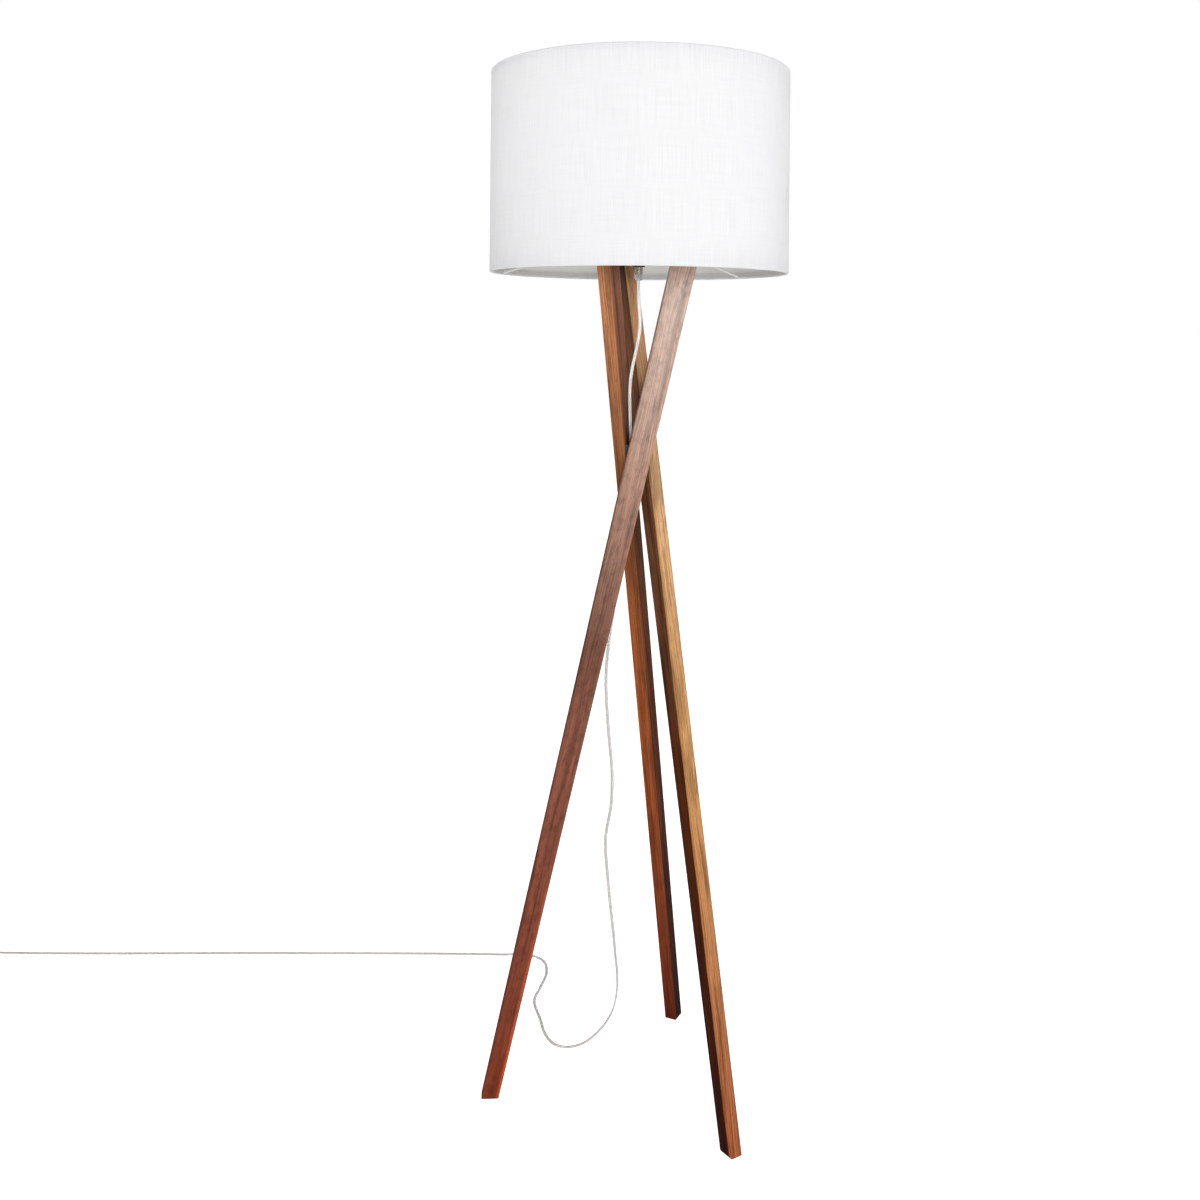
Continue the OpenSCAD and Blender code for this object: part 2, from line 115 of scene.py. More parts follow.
class LampHolderSizes(bpy.types.PropertyGroup):
    """The lampholder, its knob and the cord grip."""

    radius: length("Radius", "Radius over the lampholder's thread", 19.5 * MM)
    pitch: length("Pitch", "Pitch of the lampholder's thread", 3 * MM)
    knob: length("Knob", "Diameter of the turn knob", 12 * MM)
    knob_turn: angle("Knob direction", "Direction that the knob points in", 287.9)


class LampCordSizes(bpy.types.PropertyGroup):
    """The twin cord."""

    width: length("Width", "Width of the twin cord", 5 * MM)
    thick: length("Thickness", "Thickness of one core with its insulation", 2.7 * MM)
    wire: length("Wire", "Diameter of the stranded wire in each core", 0.95 * MM)


class LampColours(bpy.types.PropertyGroup):
    """The main colours of the finishes other than the wood."""

    linen: colour("Linen", "Bleached linen of the shade", "#f4f4f6")
    steel: colour("Coated steel", "Black powder coat", "#1d1d1f")
    phenolic: colour("Phenolic", "Black moulded lampholder", "#18181a")


GROUPS = {
    "lamp_boards": LampBoards,
    "lamp_shade": LampShadeSizes,
    "lamp_holder": LampHolderSizes,
    "lamp_cord": LampCordSizes,
    "lamp_colours": LampColours,
}


# ---- Modelling by hand ----


def clear_selection():
    """Leaves edit mode and deselects everything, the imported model's parts among them."""
    if bpy.context.object and bpy.context.object.mode != "OBJECT":
        bpy.ops.object.mode_set(mode="OBJECT")
    bpy.ops.object.select_all(action="DESELECT")


def hold(piece):
    """Makes a piece the only one selected, and the active one."""
    clear_selection()
    piece.select_set(True)
    bpy.context.view_layer.objects.active = piece


def start(name, primitive, **settings):
    """Adds a primitive under a piece's name, its place in its mesh, and opens it with all of it selected."""
    clear_selection()
    primitive(**settings)
    piece = bpy.context.object
    piece.name = piece.data.name = name
    bpy.ops.object.transform_apply(location=True, rotation=True, scale=True)
    bpy.ops.object.mode_set(mode="EDIT")
    bpy.ops.mesh.select_all(action="SELECT")
    return piece


def rod(name, radius, depth, place, sides=48):
    """A cylinder along X, open for editing."""
    return start(
        name,
        bpy.ops.mesh.primitive_cylinder_add,
        vertices=sides,
        radius=radius,
        depth=depth,
        rotation=(0, pi / 2, 0),
        location=place,
    )


def pick(piece, kind, wanted):
    """Selects, in edit mode, only the points, edges or faces that a test wants."""
    bpy.ops.mesh.select_mode(type={"verts": "VERT", "edges": "EDGE", "faces": "FACE"}[kind])
    bpy.ops.mesh.select_all(action="DESELECT")
    mesh = bmesh.from_edit_mesh(piece.data)
    mesh.normal_update()
    for item in getattr(mesh, kind):
        if wanted(item):
            item.select_set(True)
    mesh.select_flush_mode()
    bmesh.update_edit_mesh(piece.data)


def turned(name, profile, steps=96, sweep=tau):
    """Draws a closed outline of (radius, height) points by extrusion, and spins it about the lamp's axis."""
    # The outline grows from one point that is left of a plane
    piece = start(name, bpy.ops.mesh.primitive_plane_add, size=1)
    pick(piece, "verts", lambda v: v.index > 0)
    bpy.ops.mesh.delete(type="VERT")
    pick(piece, "verts", lambda v: True)
    at = bmesh.from_edit_mesh(piece.data).verts[:][0].co
    bpy.ops.transform.translate(value=Vector((profile[0][0], 0, profile[0][1])) - at)
    for (r0, z0), (r1, z1) in zip(profile, profile[1:]):
        bpy.ops.mesh.extrude_region_move(TRANSFORM_OT_translate={"value": (r1 - r0, 0, z1 - z0)})
    ends = [Vector((r, 0, z)) for r, z in (profile[0], profile[-1])]
    pick(piece, "verts", lambda v: min((v.co - e).length for e in ends) < 1e-7)
    bpy.ops.mesh.edge_face_add()
    bpy.ops.mesh.select_all(action="SELECT")
    bpy.ops.mesh.spin(steps=steps, angle=sweep, center=(0, 0, 0), axis=(0, 0, 1))
    bpy.ops.mesh.select_all(action="SELECT")
    bpy.ops.mesh.remove_doubles(threshold=1e-6)
    if sweep < tau:
        # A part turn has two open ends
        bpy.ops.mesh.select_mode(type="EDGE")
        bpy.ops.mesh.select_all(action="DESELECT")
        bpy.ops.mesh.select_non_manifold()
        bpy.ops.mesh.edge_face_add()
        bpy.ops.mesh.select_all(action="SELECT")
    bpy.ops.mesh.normals_make_consistent(inside=False)
    bpy.ops.object.mode_set(mode="OBJECT")
    return piece


def copy_of(node, name):
    """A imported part's shape as a new piece, its loose triangles merged into whole faces."""
    piece = bpy.data.objects.new(name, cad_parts[node].data.copy())
    piece.data.name = name
    bpy.context.scene.collection.objects.link(piece)
    hold(piece)
    bpy.ops.object.mode_set(mode="EDIT")
    bpy.ops.mesh.select_all(action="SELECT")
    bpy.ops.mesh.remove_doubles(threshold=1e-5)
    bpy.ops.mesh.dissolve_limited(angle_limit=radians(0.5))
    bpy.ops.object.mode_set(mode="OBJECT")
    return piece


def eased(piece, width, segments=2, limit=30):
    """Rounds a piece's sharp edges with an applied bevel."""
    hold(piece)
    bevel = piece.modifiers.new("eased", "BEVEL")
    bevel.width, bevel.segments, bevel.angle_limit = width, segments, radians(limit)
    bevel.limit_method, bevel.use_clamp_overlap = "ANGLE", True
    bpy.ops.object.modifier_apply(modifier=bevel.name)
    return piece


def cut(piece, cutter):
    """Cuts one piece out of another and removes the cutter."""
    hold(piece)
    tool = piece.modifiers.new("cut", "BOOLEAN")
    tool.operation, tool.object, tool.solver = "DIFFERENCE", cutter, "EXACT"
    bpy.ops.object.modifier_apply(modifier=tool.name)
    bpy.data.objects.remove(cutter)
    return piece


def drilled(piece, radius, depth, place, sides=48, axis=Matrix()):
    """Drills a round hole in a piece, along X unless a matrix turns the drill."""
    drill = rod("drill", radius, depth, place, sides)
    clear_selection()
    return cut(piece, moved(drill, axis))


def joined(name, pieces):
    """Several meshes as one piece."""
    hold(pieces[0])
    for other in pieces:
        other.select_set(True)
    bpy.ops.object.join()
    pieces[0].name = pieces[0].data.name = name
    return pieces[0]


def moved(piece, matrix):
    """Puts a piece's mesh in another place."""
    piece.data.transform(matrix)
    return piece


def finished(piece, body, finish=None, replaces=(), smooth=30):
    """Gives a piece its shading, finish and body, and keeps the finishes it has if none is named."""
    hold(piece)
    bpy.ops.object.transform_apply(location=True, rotation=True, scale=True)
    bpy.ops.object.shade_smooth_by_angle(angle=radians(smooth))
    if finish:
        piece.data.materials.clear()
        for face in piece.data.polygons:
            face.material_index = 0
        piece.data.materials.append(FINISHES[finish])
    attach(piece, body)
    if replaces:
        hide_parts(*replaces)
    return piece


def softened(node, name, width, limit, body, slot, finish):
    """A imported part's own shape with its sharp edges rounded, as the piece that stands for it."""
    piece = eased(copy_of(node, name), width, 2, limit)
    return finished(piece, body, finish, replaces=(node,), smooth=35)


def arc(r, z, radius, first, last, steps):
    """Outline points round an arc about (r, z), from one angle to another in degrees."""
    turns = [radians(first + (last - first) * i / steps) for i in range(steps + 1)]
    return [(r + radius * cos(t), z + radius * sin(t)) for t in turns]


def levels(low, high, count):
    """Evenly spaced heights."""
    return [low + (high - low) * i / count for i in range(count + 1)]


def oval(across, over, sides, shift=0.0):
    """A round or oval cross-section for a tube, shifted sideways."""
    turns = [tau * j / sides for j in range(sides)]
    return [(shift + across * cos(t), over * sin(t)) for t in turns]


def headings(path):
    """The direction of a path at each of its points."""
    ways = [(b - a).normalized() for a, b in zip(path, path[1:])]
    return [ways[0], *((a + b).normalized() for a, b in zip(ways, ways[1:])), ways[-1]]


def tube(name, path, section, spokes):
    """A closed mesh tube: a section of (across, over) points carried along a path on its spokes."""
    points, faces, n = [], [], len(section)
    for place, (side, up) in zip(path, spokes):
        points += [place + side * a + up * b for a, b in section]
    for i in range(len(path) - 1):
        for j in range(n):
            a, b = i * n + j, i * n + (j + 1) % n
            faces.append((a, b, b + n, a + n))
    last = (len(path) - 1) * n
    faces += [tuple(range(n))[::-1], tuple(last + j for j in range(n))]
    mesh = bpy.data.meshes.new(name)
    mesh.from_pydata(points, [], faces)
    piece = bpy.data.objects.new(name, mesh)
    bpy.context.scene.collection.objects.link(piece)
    hold(piece)
    bpy.ops.object.mode_set(mode="EDIT")
    bpy.ops.mesh.select_all(action="SELECT")
    bpy.ops.mesh.normals_make_consistent(inside=False)
    bpy.ops.object.mode_set(mode="OBJECT")
    return piece


# ---- Finishes ----


def add(tree, kind, sockets=None, ramp=None, **settings):
    """Adds a shader node with its settings. sockets gives inputs a value, or the output that feeds them."""
    new = tree.nodes.new("ShaderNode" + kind)
    for name, value in settings.items():
        setattr(new, name, value)
    for key, value in (sockets or {}).items():
        if isinstance(value, bpy.types.NodeSocket):
            tree.links.new(value, new.inputs[key])
        else:
            new.inputs[key].default_value = value
    if ramp:
        stops = new.color_ramp.elements
        while len(stops) < len(ramp):
            stops.new(1)
        for stop, (place, shade) in zip(stops, ramp):
            stop.position, stop.color = place, shade
    return new


def finish_of(name, **sockets):
    """A material with one Principled shader, and the tree to add its pattern to."""
    made = bpy.data.materials.new(name)
    made.use_nodes = True
    tree = made.node_tree
    tree.nodes.clear()
    shader = add(tree, "BsdfPrincipled", {k.replace("_", " "): v for k, v in sockets.items()})
    add(tree, "OutputMaterial", {"Surface": shader.outputs[0]})
    return made, tree, shader


def grey(value):
    """A neutral colour for a ramp."""
    return (value, value, value, 1)


def stepped(tree, value, *stops):
    """A colour or strength looked up from a value, through (place, colour) stops."""
    stops = [(place, grey(c) if isinstance(c, float) else linear(c)) for place, c in stops]
    return add(tree, "ValToRGB", {0: value}, ramp=stops).outputs[0]


def mixed(tree, factor, a, b, blend="MIX"):
    """Two colours blended by a factor."""
    return add(tree, "Mix", {0: factor, 6: a, 7: b}, data_type="RGBA", blend_type=blend).outputs[2]


def streaks(tree, place, across, along, detail=2.0, slant=0.0):
    """Noise drawn out along the board: streaks of a width and length in metres, at a slant in degrees."""
    sockets = {"Vector": place, "Rotation": (0, radians(slant), 0), "Scale": (across, across, along)}
    place = add(tree, "Mapping", sockets, vector_type="TEXTURE").outputs[0]
    noise = add(tree, "TexNoise", {"Vector": place, "Scale": 1.0, "Detail": detail, "Roughness": 0.6})
    return noise.outputs[0]


def oiled_walnut(plank, offset, face_wood_and_light, edge_wood_and_light, reach, veined, sheen, slant, figured):
    """Oiled black walnut, planed and sanded: dark veins and short pores in brown heartwood, satin sheen.

    The two lists of colours go up the board: one for its broad faces, and one for its paler long edge face
    and a sliver beside it. They are partly the walnut's own tone and partly painted light: painted shade on
    the inward faces and at the crossing, a painted highlight at the front board's top, the edge face painted
    as lit, and darker towards the foot. reach is where the edge colour starts to fade into the face colour
    and where it has. The pores are 0.3 mm wide in the real wood, and here 0.6 mm.
    """
    name = "oiled_walnut_" + plank
    made, tree, shader = finish_of(name, Roughness=0.34, IOR=1.5, Specular_IOR_Level=sheen)
    board = add(tree, "Attribute", attribute_name="board", attribute_type="GEOMETRY").outputs["Vector"]
    up = add(tree, "SeparateXYZ", {0: board}).outputs[2]
    up = add(tree, "MapRange", {0: up, 1: BOARD_ENDS[0], 2: BOARD_ENDS[1], 3: 0.0, 4: 1.0}).outputs[0]
    board = add(tree, "VectorMath", {0: board, 1: offset}, operation="ADD").outputs[0]
    # The grain wanders a few millimetres from side to side along the board
    sway = add(tree, "Mapping", {"Vector": board, "Scale": (18, 18, 5)}).outputs[0]
    sway = add(tree, "TexNoise", {"Vector": sway, "Scale": 1.0, "Detail": 1.5}).outputs["Color"]
    sway = add(tree, "VectorMath", {0: sway, 1: (-0.5, -0.5, -0.5)}, operation="ADD").outputs[0]
    sway = add(tree, "VectorMath", {0: sway, 1: (16 * MM, 16 * MM, 0)}, operation="MULTIPLY").outputs[0]
    grain = add(tree, "VectorMath", {0: board, 1: sway}, operation="ADD").outputs[0]
    veins = streaks(tree, grain, 7 * MM, 420 * MM)
    veins = stepped(tree, veins, (0.36, 0.45), (0.47, 0.9), (0.60, 1.0), (0.72, 1.2))
    figure = streaks(tree, grain, *figured, 3.0, slant)
    figure = stepped(tree, figure, (0.38, 0.62), (0.5, 1.0), (0.7, 1.08))
    lines = stepped(tree, streaks(tree, grain, 1.6 * MM, 260 * MM), (0.35, 0.5), (0.5, 0.95), (0.66, 1.25))
    pore = streaks(tree, grain, 0.6 * MM, 12 * MM, 1.0)
    pored = stepped(tree, pore, (0.34, 0.6), (0.43, 1.0))
    # Colour up the broad faces: walnut tone with painted shade and a painted highlight, darker towards the
    # foot
    wood = stepped(tree, up, *zip(HEIGHTS, face_wood_and_light))
    edge = add(tree, "Attribute", attribute_name="edge", attribute_type="GEOMETRY").outputs["Fac"]
    waver = {0: streaks(tree, board, 9 * MM, 90 * MM), 1: -6 * MM, 2: edge}
    waver = add(tree, "Math", waver, operation="MULTIPLY_ADD").outputs[0]
    inside = {0: waver, 1: reach[0], 2: reach[1], 3: 1.0, 4: 0.0}
    inside = add(tree, "MapRange", inside, interpolation_type="SMOOTHSTEP").outputs[0]
    # Colour up the paler edge face: walnut tone with painted light, as if light falls on that face
    pale = stepped(tree, up, *zip(HEIGHTS, edge_wood_and_light))
    wood = mixed(tree, veined, wood, veins, "MULTIPLY")
    wood = mixed(tree, inside, wood, pale)
    for pattern in (figure, lines, pored):
        wood = mixed(tree, veined, wood, pattern, "MULTIPLY")
    tree.links.new(wood, shader.inputs["Base Color"])
    bump = add(tree, "Bump", {"Height": pore, "Strength": 0.25, "Distance": 0.2 * MM}).outputs[0]
    tree.links.new(bump, shader.inputs["Normal"])
    return made


def slub_linen():
    """Bleached linen in plain weave, laminated: matt white, with uneven threads, the slubs, both ways.

    The threads are 0.5 mm apart in the real cloth, and here 0.9 mm.
    """
    made, tree, shader = finish_of("slub_linen", Roughness=0.95, Sheen_Weight=0.08, IOR=1.45)
    weave = add(tree, "UVMap", uv_map="weave").outputs[0]
    part = add(tree, "SeparateXYZ", {0: weave})
    threads = []
    for axis, stretch in ((0, (900, 14, 1)), (1, (14, 900, 1))):
        slub = {"Vector": weave, "Scale": stretch, "Location": (7 * axis, 3, 0)}
        slub = add(tree, "Mapping", slub).outputs[0]
        slub = {"Vector": slub, "Scale": 1.0, "Detail": 2.0, "Roughness": 0.65}
        slub = add(tree, "TexNoise", slub).outputs[0]
        across = {0: part.outputs[axis], 1: tau / (0.9 * MM)}
        across = add(tree, "Math", across, operation="MULTIPLY").outputs[0]
        across = add(tree, "Math", {0: slub, 1: 5.0, 2: across}, operation="MULTIPLY_ADD").outputs[0]
        thread = add(tree, "Math", {0: across}, operation="SINE").outputs[0]
        threads.append((slub, thread))
    (warp_slub, warp), (weft_slub, weft) = threads
    lift = add(tree, "Math", {0: warp, 1: weft}, operation="MAXIMUM").outputs[0]
    slubs = add(tree, "Math", {0: warp_slub, 1: weft_slub}, operation="MAXIMUM").outputs[0]
    height = add(tree, "Math", {0: slubs, 1: 3.0, 2: lift}, operation="MULTIPLY_ADD").outputs[0]
    both = add(tree, "Math", {0: weft_slub, 1: 0.5, 2: warp_slub}, operation="MULTIPLY_ADD").outputs[0]
    toned(tree, shader, both, bpy.context.scene.lamp_colours.linen, 0.58, 0.86, 0.92, 1)
    bump = add(tree, "Bump", {"Height": height, "Strength": 0.5, "Distance": 0.12 * MM}).outputs[0]
    tree.links.new(bump, shader.inputs["Normal"])
    glows_through(tree, shader, 0.25)
    return made


def passes_light(tree, shader, strength):
    """Lets lamplight reach what stands behind or inside clear stuff."""
    clear = add(tree, "BsdfTransparent", {0: (strength, strength, strength, 1)}).outputs[0]
    shadow = add(tree, "LightPath").outputs["Is Shadow Ray"]
    both = add(tree, "MixShader", {0: shadow, 1: shader.outputs[0], 2: clear}).outputs[0]
    add(tree, "OutputMaterial", {"Surface": both}).is_active_output = True


def glows_through(tree, shader, share):
    """Lets a share of the light that falls on thin cloth or sheet through it, scattered."""
    through = add(tree, "BsdfTranslucent", {0: linear("#fbfaf6")}).outputs[0]
    both = add(tree, "MixShader", {0: share, 1: shader.outputs[0], 2: through}).outputs[0]
    add(tree, "OutputMaterial", {"Surface": both}).is_active_output = True


def toned(tree, shader, value, tint, low, high, dark, light):
    """Colours a shader from a value: a darker and a lighter tone of one tint, with their places."""
    tones = [(low, [v * dark for v in tint[:3]] + [1]), (high, [min(1, v * light) for v in tint[:3]] + [1])]
    tone = add(tree, "ValToRGB", {0: value}, ramp=tones).outputs[0]
    tree.links.new(tone, shader.inputs["Base Color"])


def grained(
    name,
    tint,
    roughness,
    metallic=0.0,
    grain=0.0,
    size=0.3 * MM,
    depth=0.02 * MM,
    clear=0.0,
    thin=0.0,
    **sockets,
):
    """A moulded, cast, coated or plated finish whose colour and gloss vary a little over its fine grain.

    grain is how much the colour varies, size and depth are the grain's, clear is how much light passes as
    through glass, and thin how much passes scattered.
    """
    made, tree, shader = finish_of(name, Metallic=metallic, **sockets)
    place = add(tree, "TexCoord").outputs["Object"]
    fine = add(tree, "TexNoise", {"Vector": place, "Scale": 1 / size, "Detail": 2.0}).outputs[0]
    cloud = add(tree, "TexNoise", {"Vector": place, "Scale": 60.0, "Detail": 2.0}).outputs[0]
    tint = linear(tint) if isinstance(tint, str) else tint
    toned(tree, shader, cloud, tint, 0.3, 0.7, 1 - 0.5 * grain, 1 + grain)
    gloss = {0: fine, 1: 0.3, 2: 0.7, 3: roughness * 0.8, 4: min(1, roughness * 1.2)}
    gloss = add(tree, "MapRange", gloss).outputs[0]
    tree.links.new(gloss, shader.inputs["Roughness"])
    bump = add(tree, "Bump", {"Height": fine, "Strength": 0.4, "Distance": depth}).outputs[0]
    tree.links.new(bump, shader.inputs["Normal"])
    if clear:
        passes_light(tree, shader, clear)
    if thin:
        glows_through(tree, shader, thin)
    return made


def stranded_wire(name, hexa):
    """Bare stranded wire under clear insulation: bright metal with seven strands, 12 mm to a turn."""
    made, tree, shader = finish_of(name, Metallic=0.15, Roughness=0.4)
    part = add(tree, "SeparateXYZ", {0: add(tree, "UVMap", uv_map="lay").outputs[0]})
    turn = add(tree, "Math", {0: part.outputs[1], 1: tau / (12 * MM)}, operation="MULTIPLY").outputs[0]
    lay = add(tree, "Math", {0: part.outputs[0], 1: tau * 7, 2: turn}, operation="MULTIPLY_ADD").outputs[0]
    strand = add(tree, "Math", {0: lay}, operation="SINE").outputs[0]
    toned(tree, shader, strand, linear(hexa), 0.0, 0.5, 0.88, 1)
    bump = add(tree, "Bump", {"Height": strand, "Strength": 0.6, "Distance": 0.1 * MM}).outputs[0]
    tree.links.new(bump, shader.inputs["Normal"])
    return made


FINISHES = {}

# How far along a board its lowest and highest colours stand from the crossing, in metres
BOARD_ENDS = (-0.98, 0.34)

# How far up between those each of its colours stands: foot, lower half, middle, crossing, top
HEIGHTS = (0.0, 0.4, 0.52, 0.72, 1.0)

# For each board: where in the tree it was cut, the colour of its broad faces at those heights, the colour
# of its paler long edge face likewise, how far that reaches in, how strong its veins are, its sheen, and the
# slant in degrees and the width and length of its figure, the dark flames across the grain. The face and
# edge colours are partly the walnut's own tone and partly painted light: painted shade on the inward faces,
# at the crossing and on the right board above it, a painted highlight at the front board's top, the edge
# face painted as lit, and darker towards the foot
BOARDS = {
    "leg_front": (
        (0.0, 0.0, 0.0),
        ("#8f3a18", "#94553f", "#82503b", "#af826b", "#cbac9a"),
        ("#d4501e", "#8f5640", "#8e5b46", "#b68870", "#d4b6a4"),
        (-0.001, 0.004),
        0.6,
        0.45,
        38,
        (10 * MM, 48 * MM),
    ),
    "leg_right": (
        (0.4, 0.0, 3.1),
        ("#421302", "#622d0c", "#774527", "#925f3e", "#4d3021"),
        ("#b7643a", "#d89d63", "#dba46e", "#dfae7d", "#b38159"),
        (0.0015, 0.004),
        0.85,
        0.2,
        0,
        (14 * MM, 130 * MM),
    ),
    "leg_back": (
        (0.8, 0.3, 7.7),
        ("#371004", "#7c4022", "#8a4c2c", "#653b28", "#9e6344"),
        ("#71230a", "#b45c2a", "#a85b2e", "#915833", "#c4845a"),
        (0.0005, 0.003),
        0.85,
        0.25,
        0,
        (14 * MM, 130 * MM),
    ),
}


def make_finishes():
    """Makes every finish once, for the pieces to share."""
    c = bpy.context.scene.lamp_colours
    for plank, cut_from in BOARDS.items():
        FINISHES[plank] = oiled_walnut(plank, *cut_from)
    FINISHES.update(
        linen=slub_linen(),
        # Styrene sheet, calendered: smooth dense white behind the linen
        liner=grained("calendered_styrene", "#f8f8f6", 0.5, grain=0.01, thin=0.6),
        # Powder coat on steel: black with a fine orange peel
        steel=grained("powder_coated_steel", c.steel[:], 0.42, grain=0.1, size=0.9 * MM, depth=0.05 * MM),
        # Bright zinc plating: cool grey metal, faintly clouded
        zinc=grained("zinc_plated_steel", "#b9bcc0", 0.3, 1.0, grain=0.12),
        brass=grained("turned_brass", "#c9a55a", 0.25, 1.0, grain=0.08),
        nickel=grained("nickel_plated_brass", "#cfccc6", 0.2, 1.0, grain=0.06),
        # Moulded phenolic: deep black, semi-gloss, slightly mottled
        phenolic=grained("moulded_phenolic", c.phenolic[:], 0.32, grain=0.15, size=0.6 * MM),
        # Glazed porcelain: clean white under a glassy coat
        porcelain=grained("glazed_porcelain", "#f0eee8", 0.12, grain=0.02, Coat_Weight=0.6),
        # Stove enamel on wire: smooth glossy white
        enamel=grained("stove_enamelled_wire", "#f3f3f1", 0.28, grain=0.02, Coat_Weight=0.3),
        # Flexible PVC, extruded clear: mostly see-through, a little milky, glossy
        clear_pvc=grained(
            "extruded_clear_pvc", "#fdfdfd", 0.07, grain=0.01, clear=0.96, IOR=1.53, Transmission_Weight=0.6
        ),
        # Nylon, moulded natural: cloudy and see-through in the thin parts
        nylon=grained(
            "moulded_clear_nylon", "#eef1f2", 0.22, grain=0.03, clear=0.6, IOR=1.5, Transmission_Weight=0.85
        ),
        # Glass, acid frosted inside: milky
        frosted=grained(
            "frosted_glass", "#fafaf8", 0.3, grain=0.01, clear=0.5, IOR=1.5, Transmission_Weight=0.15
        ),
        black_glass=grained("pressed_black_glass", "#121214", 0.1, grain=0.05),
        clear_glass=grained(
            "drawn_clear_glass", "#fbfcfc", 0.02, grain=0.01, clear=0.9, IOR=1.5, Transmission_Weight=1.0
        ),
        # LED filament: a rod under amber phosphor silicone
        phosphor=grained("phosphor_silicone", "#e3b53c", 0.5, grain=0.1),
        tinned=stranded_wire("tinned_copper_wire", "#fafafa"),
        copper=stranded_wire("bare_copper_wire", "#f6ded2"),
    )


# ---- The cord's route ----

# Millimetres: down through the crossing, down behind the front leg, over the floor to the plug
ROUTE = (
    (0, 0, 1236), (1, 0, 1205), (3, -1, 1165), (-1, -4, 1138), (-6, -6, 1114), (-10, -8, 1092),
    (-12, -9, 1066), (-11, -8, 1025), (-9, -6, 980), (-9, -6, 935), (-16, -4, 860), (-29, 6, 760),
    (-41, 20, 665), (-44, 28, 615), (-40, 37, 540), (-33, 46, 462), (-34, 52, 410), (-42, 58, 355),
    (-38, 66, 290), (-25, 80, 165), (-21, 89, 105), (-29, 93, 62), (-50, 97, 29), (-74, 98, 10),
    (-98, 98, 3), (-118, 104, 2.5), (-132, 123, 2.5), (-149, 188, 2.5), (-161, 246, 2.5),
    (-152, 294, 2.5), (-144, 345, 2.5), (-152, 388, 2.5), (-175, 408, 2.5), (-235, 411, 2.5),
    (-600, 409, 2.5), (-1155, 400, 2.5), (-1215, 403, 2.5), (-1252, 428, 2.5),
    (-1262, 470, 4), (-1262, 500, 7),
)
CORD_END = Vector(ROUTE[-1]) * MM

# The heights on the floor are those of a round cord of this radius
ROUND_CORD = 2.5 * MM


def cord_route(step, lie):
    """Places about step apart on the smooth curve through the route's points, none lower than lie."""
    stops = [Vector(p) * MM for p in ROUTE]
    heads = [Vector((0, 0, -1))]
    for a, b, c in zip(stops, stops[1:], stops[2:]):
        heads.append(((b - a).normalized() + (c - b).normalized()).normalized())
    heads.append(Vector((0, 1, 0)))
    path = []
    for (p, q), (g, h) in zip(zip(stops, stops[1:]), zip(heads, heads[1:])):
        span = (q - p).length
        steps = max(2, round(span / step))
        for i in range(steps):
            t = i / steps
            at = (2 * t**3 - 3 * t**2 + 1) * p + (3 * t**2 - 2 * t**3) * q
            path.append(at + (t**3 - 2 * t**2 + t) * span * g + (t**3 - t**2) * span * h)
    path.append(stops[-1])
    # A flat cord lies lower than a round one. The difference fades out from 10 to 30 mm up
    lower = ROUND_CORD - lie
    for at in path:
        at.z = max(lie, at.z - lower * min(1, max(0, (30 * MM - at.z) / (20 * MM))))
    return path


def cord_spokes(path, rise, over):
    """The directions across and over the flat cord at each place on its path.

    It lies flat on the floor, and above the height rise it makes a quarter turn over the length over.
    """
    ways = [*headings(path)[:-1], Vector((0, 1, 0))]
    side, run, spokes = Vector((1, 0, 0)), 0.0, []
    for i in range(len(path) - 1, -1, -1):
        side = (side - side.dot(ways[i]) * ways[i]).normalized()
        if i + 1 < len(path) and path[i].z > rise:
            run = min(over, run + (path[i + 1] - path[i]).length)
        twist = (1 - cos(pi * run / over)) / 2
        across = Matrix.Rotation(pi / 2 * twist, 3, ways[i]) @ side
        spokes.append((across, ways[i].cross(across)))
    return spokes[::-1]


# ---- Operators, one for each piece or group of like pieces ----


